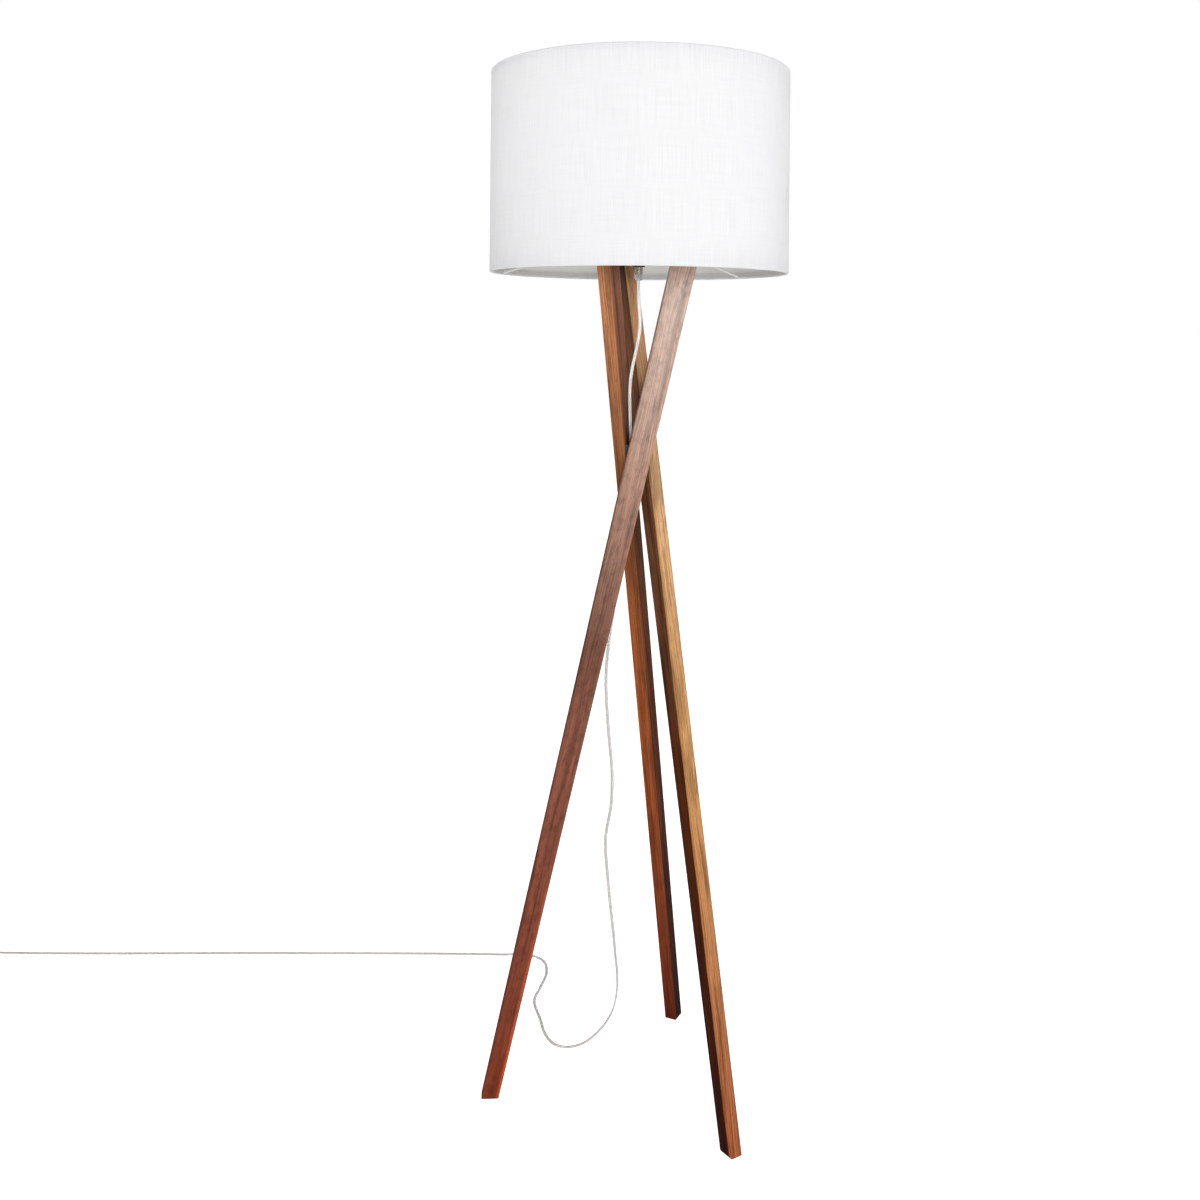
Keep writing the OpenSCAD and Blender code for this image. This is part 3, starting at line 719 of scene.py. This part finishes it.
class LampStage(bpy.types.Operator):
    """Sets the camera, the pale floor and the soft studio light."""

    bl_idname = "lamp.stage"
    bl_label = "Stage"

    def execute(self, context):
        scene = context.scene
        scene.view_settings.view_transform = "Standard"
        clear_selection()
        # Level, a little higher than the boards' crossing, and shifted down to take in the feet
        place, roll = (-0.05835, -2.0017, 1.14855), radians(-0.538)
        bpy.ops.object.camera_add(location=place, rotation=(pi / 2, roll, 0))
        camera = context.object
        camera.data.lens, camera.data.sensor_width = 39.02, 36
        camera.data.shift_y = -0.2192
        scene.camera = camera
        world = bpy.data.worlds.new("studio")
        world.use_nodes = True
        tree = world.node_tree
        tree.nodes.clear()
        seen = add(tree, "Background", {"Color": (1, 1, 1, 1), "Strength": 1.0}).outputs[0]
        fill = add(tree, "Background", {"Color": (0.96, 0.98, 1, 1), "Strength": 0.4}).outputs[0]
        flag = add(tree, "Background", {"Color": (0.96, 0.98, 1, 1), "Strength": 0.1}).outputs[0]
        gloss = add(tree, "LightPath").outputs["Is Glossy Ray"]
        sky = add(tree, "MixShader", {0: gloss, 1: fill, 2: flag}).outputs[0]
        sky = add(tree, "MixShader", {0: self.straight(tree), 1: sky, 2: seen}).outputs[0]
        add(tree, "OutputWorld", {"Surface": sky})
        scene.world = world
        # Seamless paper: matt white, bright enough to leave only the contact shadows. As in the world
        # above, black flags to either side keep it out of the lamp's glossy faces
        paper, tree, shader = finish_of("seamless_paper", Roughness=1.0)
        shader.inputs["Emission Color"].default_value = (1, 1, 1, 1)
        gloss = add(tree, "LightPath").outputs["Is Glossy Ray"]
        paper_white = mixed(tree, gloss, linear("#e6e6e6"), linear("#404040"))
        tree.links.new(paper_white, shader.inputs["Base Color"])
        glow = add(tree, "MapRange", {0: self.straight(tree), 3: 0.3, 4: 0.86}).outputs[0]
        glow = add(tree, "MapRange", {0: gloss, 3: glow, 4: 0.05}).outputs[0]
        tree.links.new(glow, shader.inputs["Emission Strength"])
        floor = start("floor", bpy.ops.mesh.primitive_circle_add, vertices=64, radius=14, fill_type="NGON")
        bpy.ops.transform.translate(value=(0, 0, -0.4 * MM))
        clear_selection()
        floor.data.materials.append(paper)
        # Each light's name, place, target, size in metres, power in watts and spread in degrees
        for name, place, target, size, power, spread in (
            ("key", (0.5, -2.3, 1.4), (0.0, 0.0, 1.0), 1.0, 31, 180),
            ("shade_left", (-2.3, -0.7, 1.5), (0.0, 0.0, 1.42), 0.5, 0.45, 22),
            ("shade_right", (2.3, -0.5, 1.5), (0.0, 0.0, 1.42), 0.5, 0.28, 22),
            ("back", (0.4, 2.4, 2.4), (0.0, 0.0, 1.2), 1.6, 14, 180),
        ):
            clear_selection()
            aim = (Vector(target) - Vector(place)).to_track_quat("-Z", "Y").to_euler()
            bpy.ops.object.light_add(type="AREA", location=place, rotation=aim)
            light = context.object
            light.name = name
            light.data.size, light.data.energy, light.data.spread = size, power, radians(spread)
        return {"FINISHED"}

    @staticmethod
    def straight(tree):
        """1 where the backdrop is looked at, directly or through clear stuff, and 0 where it only lights."""
        path = add(tree, "LightPath")
        looks = (path.outputs["Is Camera Ray"], path.outputs["Is Transmission Ray"])
        return add(tree, "Math", {0: looks[0], 1: looks[1]}, operation="MAXIMUM").outputs[0]


class LampCord(bpy.types.Operator):
    """Lays the clear twin cord with its two wires, from the cord grip to the plug."""

    bl_idname = "lamp.cord"
    bl_label = "Cord"

    def execute(self, context):
        sizes = context.scene.lamp_cord
        lobe = sizes.thick / 2
        apart = sizes.width / 2 - lobe
        path = cord_route(step=4 * MM, lie=lobe + 0.05 * MM)
        spokes = cord_spokes(path, rise=30 * MM, over=350 * MM)
        # Two round lobes of 256 degrees, with a dip between them on either side
        half = [(apart + lobe * cos(radians(a)), lobe * sin(radians(a))) for a in range(-128, 129, 32)]
        dip = 0.72 * lobe
        section = half + [(0, dip)] + [(-a, -b) for a, b in half] + [(0, -dip)]
        cord = tube("cord_insulation", path, section, spokes)
        sides = 8
        for name, side, finish in (("cord_wire_tinned", 1, "tinned"), ("cord_wire_copper", -1, "copper")):
            round_wire = oval(sizes.wire / 2, sizes.wire / 2, sides, side * apart)
            wire = tube(name, path, round_wire, spokes)
            self.lay_uv(wire, path, sides)
            finished(wire, "stand", finish, smooth=60)
        finished(cord, "stand", "clear_pvc", replaces=("cord",), smooth=60)
        return {"FINISHED"}

    @staticmethod
    def lay_uv(wire, path, sides):
        """Gives a wire its own coordinates: round it from 0 to 1, and along it in metres."""
        along = [0.0]
        for a, b in zip(path, path[1:]):
            along.append(along[-1] + (b - a).length)
        layer = wire.data.uv_layers.new(name="lay")
        for face in wire.data.polygons:
            rounds = [wire.data.loops[i].vertex_index % sides for i in face.loop_indices]
            wraps = max(rounds) == sides - 1 and min(rounds) == 0
            for i, j in zip(face.loop_indices, rounds):
                u = (j + sides if wraps and j == 0 else j) / sides
                layer.data[i].uv = (u, along[wire.data.loops[i].vertex_index // sides])


class LampPlug(bpy.types.Operator):
    """Models the moulded two-pin plug with its finger grips, strain relief and pierced blades."""

    bl_idname = "lamp.plug"
    bl_label = "Plug"

    def execute(self, context):
        low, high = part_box("plug_body")
        neck = CORD_END.y + 12 * MM
        size = Vector((high.x - low.x, high.y - neck, high.z - low.z))
        centre = Vector(((low.x + high.x) / 2, (neck + high.y) / 2, (low.z + high.z) / 2))
        body = start("plug_body_moulded", bpy.ops.mesh.primitive_cube_add, size=1, location=centre)
        bpy.ops.transform.resize(value=size, center_override=centre)
        # Grip grooves across the body: rings of edges, every other one drawn in
        pick(body, "edges", lambda e: abs((e.verts[0].co - e.verts[1].co).y) > size.y / 2)
        bpy.ops.mesh.subdivide(number_cuts=9)
        rings = sorted({round(v.co.y, 6) for v in bmesh.from_edit_mesh(body.data).verts})
        for y in rings[2:9:2]:
            pick(body, "verts", lambda v, y=y: abs(v.co.y - y) < 1e-5)
            bpy.ops.transform.resize(value=(0.95, 1, 0.9), center_override=(centre.x, y, centre.z))
        # The cord's end tapers towards its neck
        pick(body, "faces", lambda f: f.normal.y < -0.9)
        bpy.ops.mesh.inset(thickness=4.2 * MM)
        bpy.ops.transform.translate(value=(0, -4 * MM, 0))
        bpy.ops.mesh.extrude_region_move(TRANSFORM_OT_translate={"value": (0, -7.5 * MM, 0)})
        bpy.ops.transform.resize(value=(0.62, 1, 0.9), center_override=(centre.x, neck, centre.z))
        eased(body, 1.6 * MM, 4, 50)
        finished(body, "stand", "nylon", replaces=("plug_body",), smooth=40)
        # Strain relief: a tapered sleeve, flexible where it leaves the body
        path = [p for p in cord_route(step=4 * MM, lie=1.4 * MM) if (p - CORD_END).length < 30 * MM]
        path += [CORD_END + Vector((0, 3 * MM, 0)), CORD_END + Vector((0, 9 * MM, 0))]
        spokes = [(Vector((1, 0, 0)), Vector((0, 0, 1)))] * len(path)
        sides = 20
        relief = tube("plug_relief", path, oval(3.6 * MM, 2.6 * MM, sides), spokes)
        for v in relief.data.vertices:
            i = v.index // sides
            swell = 0.82 + 0.5 * i / (len(path) - 1) + (0.06 if i % 2 else 0)
            v.co = path[i] + (v.co - path[i]) * swell
            v.co.z = max(v.co.z, 0.1 * MM)
        finished(relief, "stand", "nylon", smooth=50)
        blades = []
        low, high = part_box("plug_blades")
        width = 1.5 * MM
        for x in (low.x + width / 2, high.x - width / 2):
            at = Vector((x, (low.y + high.y) / 2 - 1 * MM, (low.z + high.z) / 2))
            blade = start("blade", bpy.ops.mesh.primitive_cube_add, size=1, location=at)
            span = high.y - low.y + 2 * MM
            bpy.ops.transform.resize(value=(width, span, high.z - low.z), center_override=at)
            pick(blade, "edges", lambda e: self.at_tip(e, at.y))
            bpy.ops.mesh.bevel(offset=1.2 * MM, segments=3, affect="EDGES", offset_type="OFFSET")
            clear_selection()
            drilled(blade, 1.6 * MM, 6 * MM, (x, high.y - 4.5 * MM, at.z), 24)
            blades.append(eased(blade, 0.2 * MM))
        blades = joined("plug_blades_pierced", blades)
        finished(blades, "stand", "nickel", replaces=("plug_blades",))
        return {"FINISHED"}

    @staticmethod
    def at_tip(edge, middle):
        """Whether a blade's edge lies across it, beyond its middle."""
        a, b = (v.co for v in edge.verts)
        return a.y > middle and b.y > middle and abs(a.z - b.z) < 1e-6


class LampLegs(bpy.types.Operator):
    """Shapes the three tapered boards and the wooden plugs over their screws."""

    bl_idname = "lamp.legs"
    bl_label = "Legs"

    # The direction in degrees that each board faces, and the side of its paler edge, whose face is painted
    # as lit
    turns = {"leg_front": 273.9, "leg_right": 33.9, "leg_back": 153.9}
    pale_side = {"leg_front": -1, "leg_right": 1, "leg_back": -1}
    # Half the gap between a wooden plug and its hole
    snug = 0.02 * MM

    def execute(self, context):
        b = context.scene.lamp_boards
        run = sin(b.lean) / cos(b.lean)
        foot, head = b.foot / cos(b.lean), b.head / cos(b.lean)
        at_crossing = foot + (head - foot) * b.crossing / b.top
        inner = (at_crossing / 2 + b.play) / sqrt(3)
        plug_heights = (b.crossing - 12 * MM, b.crossing + 12 * MM)
        plugs = []
        for node, degrees in self.turns.items():
            turn = Matrix.Rotation(radians(degrees), 4, "Z")
            mid = Vector((inner + b.thick / 2, (b.top - b.crossing) * run, b.top / 2))
            board = start(node + "_board", bpy.ops.mesh.primitive_cube_add, size=1, location=mid)
            bpy.ops.transform.resize(value=(b.thick, head, b.top), center_override=mid)
            pick(board, "verts", lambda v: v.co.z < MM)
            low = Vector((mid.x, mid.y, 0))
            bpy.ops.transform.resize(value=(1, foot / head, 1), center_override=low)
            bpy.ops.transform.translate(value=(0, -b.top * run, 0))
            # Rings of edges along the board keep its faces from being one long strip
            pick(board, "edges", lambda e: abs(e.verts[0].co.z - e.verts[1].co.z) > b.top / 2)
            bpy.ops.mesh.subdivide(number_cuts=24)
            clear_selection()
            eased(board, b.arris, 3, 40)
            for z in plug_heights:
                spot = (inner + b.thick, (z - b.crossing) * run, z)
                drilled(board, b.plug / 2 + self.snug, 12 * MM, spot)
                plugs.append((node, self.plug(b, Vector(spot), turn)))
            moved(board, turn)
            self.mark(board, b, degrees, inner, self.pale_side[node])
            finished(board, "stand", node, replaces=(node,), smooth=35)
        for node, plug in plugs:
            self.mark(plug, b, self.turns[node], inner, self.pale_side[node])
            plug.data.materials.append(FINISHES[node])
        whole = joined("screw_plugs_turned", [plug for _, plug in plugs])
        finished(whole, "stand", replaces=("screw_plugs",), smooth=35)
        return {"FINISHED"}

    def plug(self, b, spot, turn):
        """One turned plug, flush with the board and in line with its grain, its inner end chamfered."""
        depth = 5 * MM
        plug = rod("plug", b.plug / 2 - self.snug, depth, spot - Vector((depth / 2, 0, 0)))
        pick(plug, "faces", lambda f: f.normal.x < -0.9)
        bpy.ops.mesh.bevel(offset=0.6 * MM, segments=2, affect="EDGES")
        clear_selection()
        return moved(plug, turn)

    @staticmethod
    def mark(piece, b, degrees, inner, side):
        """Marks each point with its place in its board, and its distance from the paler edge."""
        back = Matrix.Rotation(-radians(degrees), 3, "Z")
        # Adding an attribute moves the others, so both are made before either is filled
        piece.data.attributes.new("board", "FLOAT_VECTOR", "POINT")
        piece.data.attributes.new("edge", "FLOAT", "POINT")
        board, edge = piece.data.attributes["board"], piece.data.attributes["edge"]
        for v in piece.data.vertices:
            p = back @ v.co
            rise = p.z - b.crossing
            across = p.y * cos(b.lean) - rise * sin(b.lean)
            along = p.y * sin(b.lean) + rise * cos(b.lean)
            half = (b.foot + (b.head - b.foot) * p.z / b.top) / 2
            board.data[v.index].vector = (p.x - inner, across, along)
            edge.data[v.index].value = half + across * side


class LampShadeCloth(bpy.types.Operator):
    """Rolls the linen drum with its hems and back seam, and its stiff liner."""

    bl_idname = "lamp.shade_cloth"
    bl_label = "Shade cloth and liner"

    # Overlap of the cloth at its back seam, and the number of flats round the drum
    lap = 12 * MM
    flats = 224

    def execute(self, context):
        s = context.scene.lamp_shade
        low, high = (corner.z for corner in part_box("shade_fabric"))
        half = s.cloth / 2
        wire = s.radius - s.cloth - s.wire / 2
        bend = s.wire / 2 + half
        liner_face = s.radius - s.cloth - s.liner
        # The cloth's middle line, from the lower hem's raw edge round the wire and up the outside
        edge = low + half + s.hem
        line = [(liner_face - half, edge + 1.5 * MM), (liner_face - half, edge - 2 * MM)]
        # Between the liner's face and the wire it slants a little inwards
        line += [(wire - bend * 0.86, low + s.cloth + s.wire * 0.9)]
        level = low + bend + half
        line += arc(wire, level, bend, 180, 360, 12)
        top = [(r, high + low - z) for r, z in line[::-1]]
        walls = [(s.radius - half, level + (high + low - 2 * level) * t / 8) for t in range(1, 8)]
        line += walls + top
        cloth = turned("shade_linen", self.thickened(line, half), steps=self.flats)
        self.weave_uv(cloth, s.radius)
        seam = self.seam(s, low, high)
        cloth = joined("shade_linen", [cloth, seam])
        finished(cloth, "shade", "linen", replaces=("shade_fabric",), smooth=40)
        rise = 4.6 * MM
        outer, inner = s.radius - s.cloth - 0.05 * MM, liner_face + 0.02 * MM
        profile = [(inner, low + rise), (outer, low + rise), (outer, high - rise), (inner, high - rise)]
        liner = turned("shade_backing_sheet", profile, steps=self.flats)
        finished(liner, "shade", "liner", replaces=("shade_liner",), smooth=40)
        return {"FINISHED"}

    @staticmethod
    def thickened(line, half):
        """The outline of a strip of cloth whose middle runs along a line."""
        sides = ([], [])
        for i, (r, z) in enumerate(line):
            (r0, z0), (r1, z1) = line[max(0, i - 1)], line[min(len(line) - 1, i + 1)]
            far = hypot(r1 - r0, z1 - z0)
            nr, nz = (z1 - z0) / far * half, -(r1 - r0) / far * half
            sides[0].append((r + nr, z + nz))
            sides[1].append((r - nr, z - nz))
        return sides[0] + sides[1][::-1]

    def seam(self, s, low, high):
        """The cloth's overlap at the back: a strip lapped over the drum, with its own small step."""
        inner, outer = s.radius - 0.2 * MM, s.radius + 0.45 * MM
        inset = 1.2 * MM
        profile = [(inner, low + inset), (outer, low + inset), (outer, high - inset), (inner, high - inset)]
        strip = turned("seam", profile, steps=6, sweep=self.lap / s.radius)
        eased(strip, 0.2 * MM)
        moved(strip, Matrix.Rotation(radians(96), 4, "Z"))
        self.weave_uv(strip, s.radius)
        return strip

    @staticmethod
    def weave_uv(piece, radius):
        """Lays the weave in metres: round the drum, and up it."""
        layer = piece.data.uv_layers.new(name="weave")
        for face in piece.data.polygons:
            spots = [piece.data.vertices[piece.data.loops[i].vertex_index].co for i in face.loop_indices]
            turns = [atan2(p.y, p.x) for p in spots]
            if max(turns) - min(turns) > pi:
                turns = [t + tau if t < 0 else t for t in turns]
            for i, t, p in zip(face.loop_indices, turns, spots):
                layer.data[i].uv = (t * radius, p.z)


class LampShadeFrame(bpy.types.Operator):
    """Bends the spider's three arms and turns its hub."""

    bl_idname = "lamp.shade_frame"
    bl_label = "Shade frame"

    def execute(self, context):
        s = context.scene.lamp_shade
        low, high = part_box("spider_hub")
        hole, rim = 19.9 * MM, high.x
        profile = [(hole, low.z), (rim, low.z), (rim, high.z), (hole, high.z)]
        hub = eased(turned("hub_plate", profile, steps=96), 0.45 * MM)
        finished(hub, "shade", "enamel", replaces=("spider_hub",))
        ring = s.radius - s.cloth - s.wire / 2
        ring_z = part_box("shade_fabric")[0].z + s.cloth + s.wire / 2
        under = low.z - s.arm / 2
        # Flat under the hub, then bent down to the lower ring
        inner = 24.6 * MM
        bends = [(0, 0), (4 * MM, 0), (7 * MM, -0.35 * MM), (11 * MM, -1.4 * MM)]
        path = [Vector((inner + out, 0, under + down)) for out, down in bends]
        knee, tip = path[-1], Vector((ring - 1.2 * MM, 0, ring_z + 0.4 * MM))
        path += [knee.lerp(tip, i / 6) for i in range(1, 7)]
        beside = Vector((0, 1, 0))
        spokes = [(beside, way.cross(beside)) for way in headings(path)]
        section = oval(s.arm / 2, s.arm / 2, 20)
        for i, degrees in enumerate((41.3, 161.3, 281.3), 1):
            arm = eased(tube(f"spider_arm_{i}_bent", path, section, spokes), 0.5 * MM, 2, 60)
            moved(arm, Matrix.Rotation(radians(degrees), 4, "Z"))
            finished(arm, "shade", "enamel", replaces=(f"spider_arm_{i}",), smooth=40)
        return {"FINISHED"}


def threaded(piece, low, high, crest, depth, pitch):
    """Presses a screw thread into a turned piece's wall between two heights, fading out at both ends."""
    # Points this near to the crest are the outer wall's
    near = 0.4 * MM
    for v in piece.data.vertices:
        r = hypot(v.co.x, v.co.y)
        if low < v.co.z < high and r > crest - near:
            phase = (v.co.z / pitch - atan2(v.co.y, v.co.x) / tau) % 1
            dip = 0.5 + 0.5 * cos(tau * phase)
            fade = min(1, (v.co.z - low) / pitch, (high - v.co.z) / pitch)
            scale = 1 - depth * dip * fade / r
            v.co.x, v.co.y = v.co.x * scale, v.co.y * scale


class LampHolder(bpy.types.Operator):
    """Moulds the lampholder's cap and threaded skirt, its ring nut and the turn knob."""

    bl_idname = "lamp.holder"
    bl_label = "Lampholder"

    def execute(self, context):
        h = context.scene.lamp_holder
        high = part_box("holder_skirt")[1].z
        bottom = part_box("holder_cap")[1].z
        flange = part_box("spider_hub")[0].z
        r, bore = h.radius, h.radius - 2.5 * MM
        wall = [(bore, bottom), (r - 0.5 * MM, bottom), (r, bottom + 0.5 * MM)]
        # The flange that the shade's hub rests on
        collar, under = r + 3 * MM, flange - 3.1 * MM
        wall += [(r, under - 0.5 * MM), (r + 0.6 * MM, under), (collar - 0.4 * MM, under)]
        wall += [(collar, under + 0.5 * MM), (collar, flange - 0.5 * MM)]
        wall += [(collar - 0.4 * MM, flange - 0.1 * MM), (r, flange - 0.1 * MM)]
        wall += [(r, z) for z in levels(flange + 0.1 * MM, high - 1 * MM, 56)]
        wall += [(r - 0.8 * MM, high), (bore + 0.4 * MM, high), (bore, high - 0.4 * MM)]
        skirt = turned("holder_skirt_threaded", wall, steps=120)
        threaded(skirt, flange, high - 0.6 * MM, r, 1.1 * MM, h.pitch)
        finished(skirt, "stand", "phenolic", replaces=("holder_skirt",), smooth=50)
        cap_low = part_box("holder_cap")[0].z
        shoulder, eye, boss = 6 * MM, 5.2 * MM, 12.5 * MM
        wall = [(eye, cap_low), (r - shoulder, cap_low)]
        wall += arc(r - shoulder, cap_low + shoulder, shoulder, -75, 0, 5)
        wall += [(r, z) for z in levels(cap_low + 8 * MM, bottom - 2.4 * MM, 8)]
        # A shadow line just under the joint with the skirt
        wall += [(r - 0.5 * MM, bottom - 1.9 * MM), (r - 0.5 * MM, bottom - 1.3 * MM)]
        wall += [(r, bottom - 0.9 * MM), (r, bottom - 0.3 * MM), (r - 0.3 * MM, bottom - 0.02 * MM)]
        wall += [(r - 2 * MM, bottom - 0.02 * MM), (r - 2 * MM, cap_low + 10 * MM)]
        wall += [(boss, cap_low + 7 * MM), (boss, cap_low + 3 * MM), (eye, cap_low + 3 * MM)]
        steps = 144
        cap = turned("holder_cap_ribbed", wall, steps=steps)
        # Grip ribs round the cap, every other pair of edge lines drawn in
        for v in cap.data.vertices:
            around = hypot(v.co.x, v.co.y)
            if around > r - 0.1 * MM and cap_low + 8.5 * MM < v.co.z < bottom - 2.8 * MM:
                rib = round(atan2(v.co.y, v.co.x) / tau * steps) % 4
                scale = 1 - (0.35 * MM if rib in (0, 1) else 0) / around
                v.co.x, v.co.y = v.co.x * scale, v.co.y * scale
        shaft_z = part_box("knob_shaft")[0].z + 2 * MM
        axis = Matrix.Rotation(h.knob_turn, 4, "Z") @ Matrix.Translation((0, 0, shaft_z))
        drilled(cap, 2.3 * MM, 12 * MM, (r, 0, 0), 32, axis)
        finished(cap, "stand", "phenolic", replaces=("holder_cap",), smooth=35)
        black = ("black_phenolic", "phenolic")
        softened("shade_ring", "shade_ring_scalloped", 0.5 * MM, 35, "ring_nut", *black)
        softened("switch_knob", "switch_knob_fluted", 0.4 * MM, 50, "switch", *black)
        return {"FINISHED"}


class LampBracket(bpy.types.Operator):
    """Eases the steel bracket, its nut and washer, and models the clear cord grip under them."""

    bl_idname = "lamp.bracket"
    bl_label = "Bracket and cord grip"

    def execute(self, context):
        softened("top_bracket", "top_bracket_folded", 0.35 * MM, 40, "stand", "black_steel", "steel")
        softened("lock_nut", "lock_nut_chamfered", 0.45 * MM, 40, "stand", "black_steel", "steel")
        softened("grip_washer", "grip_washer_pressed", 0.2 * MM, 40, "stand", "zinc_screws", "zinc")
        (low, high), r = (c.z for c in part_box("cord_grip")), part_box("cord_grip")[1].x
        bore, thread = 2.65 * MM, 5.05 * MM
        collar, shoulder = high - 4 * MM, 2.6 * MM
        wall = [(bore, low), (r - shoulder, low)]
        wall += arc(r - shoulder, low + shoulder, shoulder, -75, 0, 5)
        wall += [(r, collar - 0.5 * MM), (r - 0.5 * MM, collar), (r - 0.5 * MM, collar + 0.5 * MM)]
        wall += [(r, collar + 1 * MM), (r, high - 0.3 * MM), (r - 0.3 * MM, high)]
        wall += [(thread, high), (thread, low + 10 * MM), (bore, low + 9 * MM)]
        grip = turned("cord_grip_moulded", wall, steps=64)
        # The boss of the clamping screw, with a hollow for its head
        boss = rod("boss", 2.6 * MM, 4 * MM, (r + 0.4 * MM, 0, low + 6.5 * MM), 32)
        pick(boss, "faces", lambda f: f.normal.x > 0.9)
        bpy.ops.mesh.inset(thickness=0.7 * MM)
        bpy.ops.mesh.extrude_region_move(TRANSFORM_OT_translate={"value": (-1 * MM, 0, 0)})
        clear_selection()
        moved(eased(boss, 0.2 * MM), Matrix.Rotation(radians(285), 4, "Z"))
        grip = joined("cord_grip_moulded", [grip, boss])
        finished(grip, "stand", "nylon", replaces=("cord_grip",), smooth=35)
        return {"FINISHED"}


class LampBulb(bpy.types.Operator):
    """Blows the frosted bulb and rolls its screw cap."""

    bl_idname = "lamp.bulb"
    bl_label = "Bulb"

    def execute(self, context):
        low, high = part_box("bulb_glass")
        globe = high.x
        centre = high.z - globe
        neck, wall = 14.2 * MM, 1 * MM
        shoulder = low.z + 6 * MM
        dome = arc(0, centre, globe, -48, 90, 24)
        dome[-1] = (0.0, high.z)
        outer = [(neck, low.z), (neck, shoulder)]
        # Between the neck and the globe, an S curve mixed with a cone
        for t in (0.2, 0.4, 0.6, 0.8):
            ease = t * t * (3 - 2 * t)
            out = neck + (dome[0][0] - neck) * (0.35 * t + 0.65 * ease)
            outer.append((out, shoulder + (dome[0][1] - shoulder) * t))
        outer += dome
        inner = [(max(0.0, r - wall), z - wall * max(0.0, z - centre) / globe) for r, z in outer]
        glass = turned("bulb_envelope", outer + inner[::-1], steps=96)
        finished(glass, "bulb", "frosted", replaces=("bulb_glass",), smooth=60)
        low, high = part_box("bulb_cap")
        r = high.x
        wall = [(r - 0.8 * MM, low.z)]
        wall += [(r, z) for z in levels(low.z + 1 * MM, high.z - 1 * MM, 56)]
        wall += [(r, high.z), (r - 0.4 * MM, high.z), (r - 1.4 * MM, high.z - 1 * MM), (r - 1.4 * MM, low.z)]
        cap = turned("bulb_cap_rolled", wall, steps=96)
        threaded(cap, low.z + 0.9 * MM, high.z - 3 * MM, r, 0.9 * MM, 3.63 * MM)
        finished(cap, "bulb", "nickel", replaces=("bulb_cap",), smooth=50)
        return {"FINISHED"}


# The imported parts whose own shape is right, by their finish
CARRIED = {
    "steel": ("waist_tube", "waist_screws"),
    "zinc": ("bracket_screws",),
    "brass": ("nipple", "lead_wires", "terminal_screws", "centre_contact", "knob_shaft"),
    "clear_pvc": ("cord_tail",),
    "porcelain": ("terminal_block",),
    "nickel": ("screw_shell", "bulb_tip"),
    "enamel": ("wire_ring_upper", "wire_ring_lower"),
    "black_glass": ("bulb_insulator",),
    "clear_glass": ("bulb_stem",),
    "phosphor": ("bulb_filaments",),
}


class LampHardware(bpy.types.Operator):
    """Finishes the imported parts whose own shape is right."""

    bl_idname = "lamp.hardware"
    bl_label = "Hardware finishes"

    def execute(self, context):
        for finish, nodes in CARRIED.items():
            for name in nodes:
                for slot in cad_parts[name].material_slots:
                    slot.material = FINISHES[finish]
        return {"FINISHED"}


ORDER = (
    LampStage,
    LampPlug,
    LampCord,
    LampLegs,
    LampBracket,
    LampHolder,
    LampShadeCloth,
    LampShadeFrame,
    LampBulb,
    LampHardware,
)


class LampPanel(bpy.types.Panel):
    """Lists the lamp's pieces in the order of making."""

    bl_idname = "VIEW3D_PT_lamp"
    bl_label = "Tripod floor lamp"
    bl_space_type = "VIEW_3D"
    bl_region_type = "UI"
    bl_category = "Lamp"

    def draw(self, context):
        for piece in ORDER:
            self.layout.operator(piece.bl_idname)
        for name, group in GROUPS.items():
            for sized in group.__annotations__:
                self.layout.prop(getattr(context.scene, name), sized)


def register():
    for made in (*GROUPS.values(), *ORDER, LampPanel):
        bpy.utils.register_class(made)
    for name, group in GROUPS.items():
        setattr(bpy.types.Scene, name, PointerProperty(type=group))


def unregister():
    for name in GROUPS:
        delattr(bpy.types.Scene, name)
    for made in (LampPanel, *ORDER[::-1], *GROUPS.values()):
        bpy.utils.unregister_class(made)


def main():
    """Builds the lamp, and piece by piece."""
    register()
    make_finishes()
    bpy.ops.lamp.stage()
    bpy.ops.lamp.plug()
    bpy.ops.lamp.cord()
    bpy.ops.lamp.legs()
    bpy.ops.lamp.bracket()
    bpy.ops.lamp.holder()
    bpy.ops.lamp.shade_cloth()
    bpy.ops.lamp.shade_frame()
    bpy.ops.lamp.bulb()
    bpy.ops.lamp.hardware()
    clear_selection()


if __name__ == "__main__":
    main()
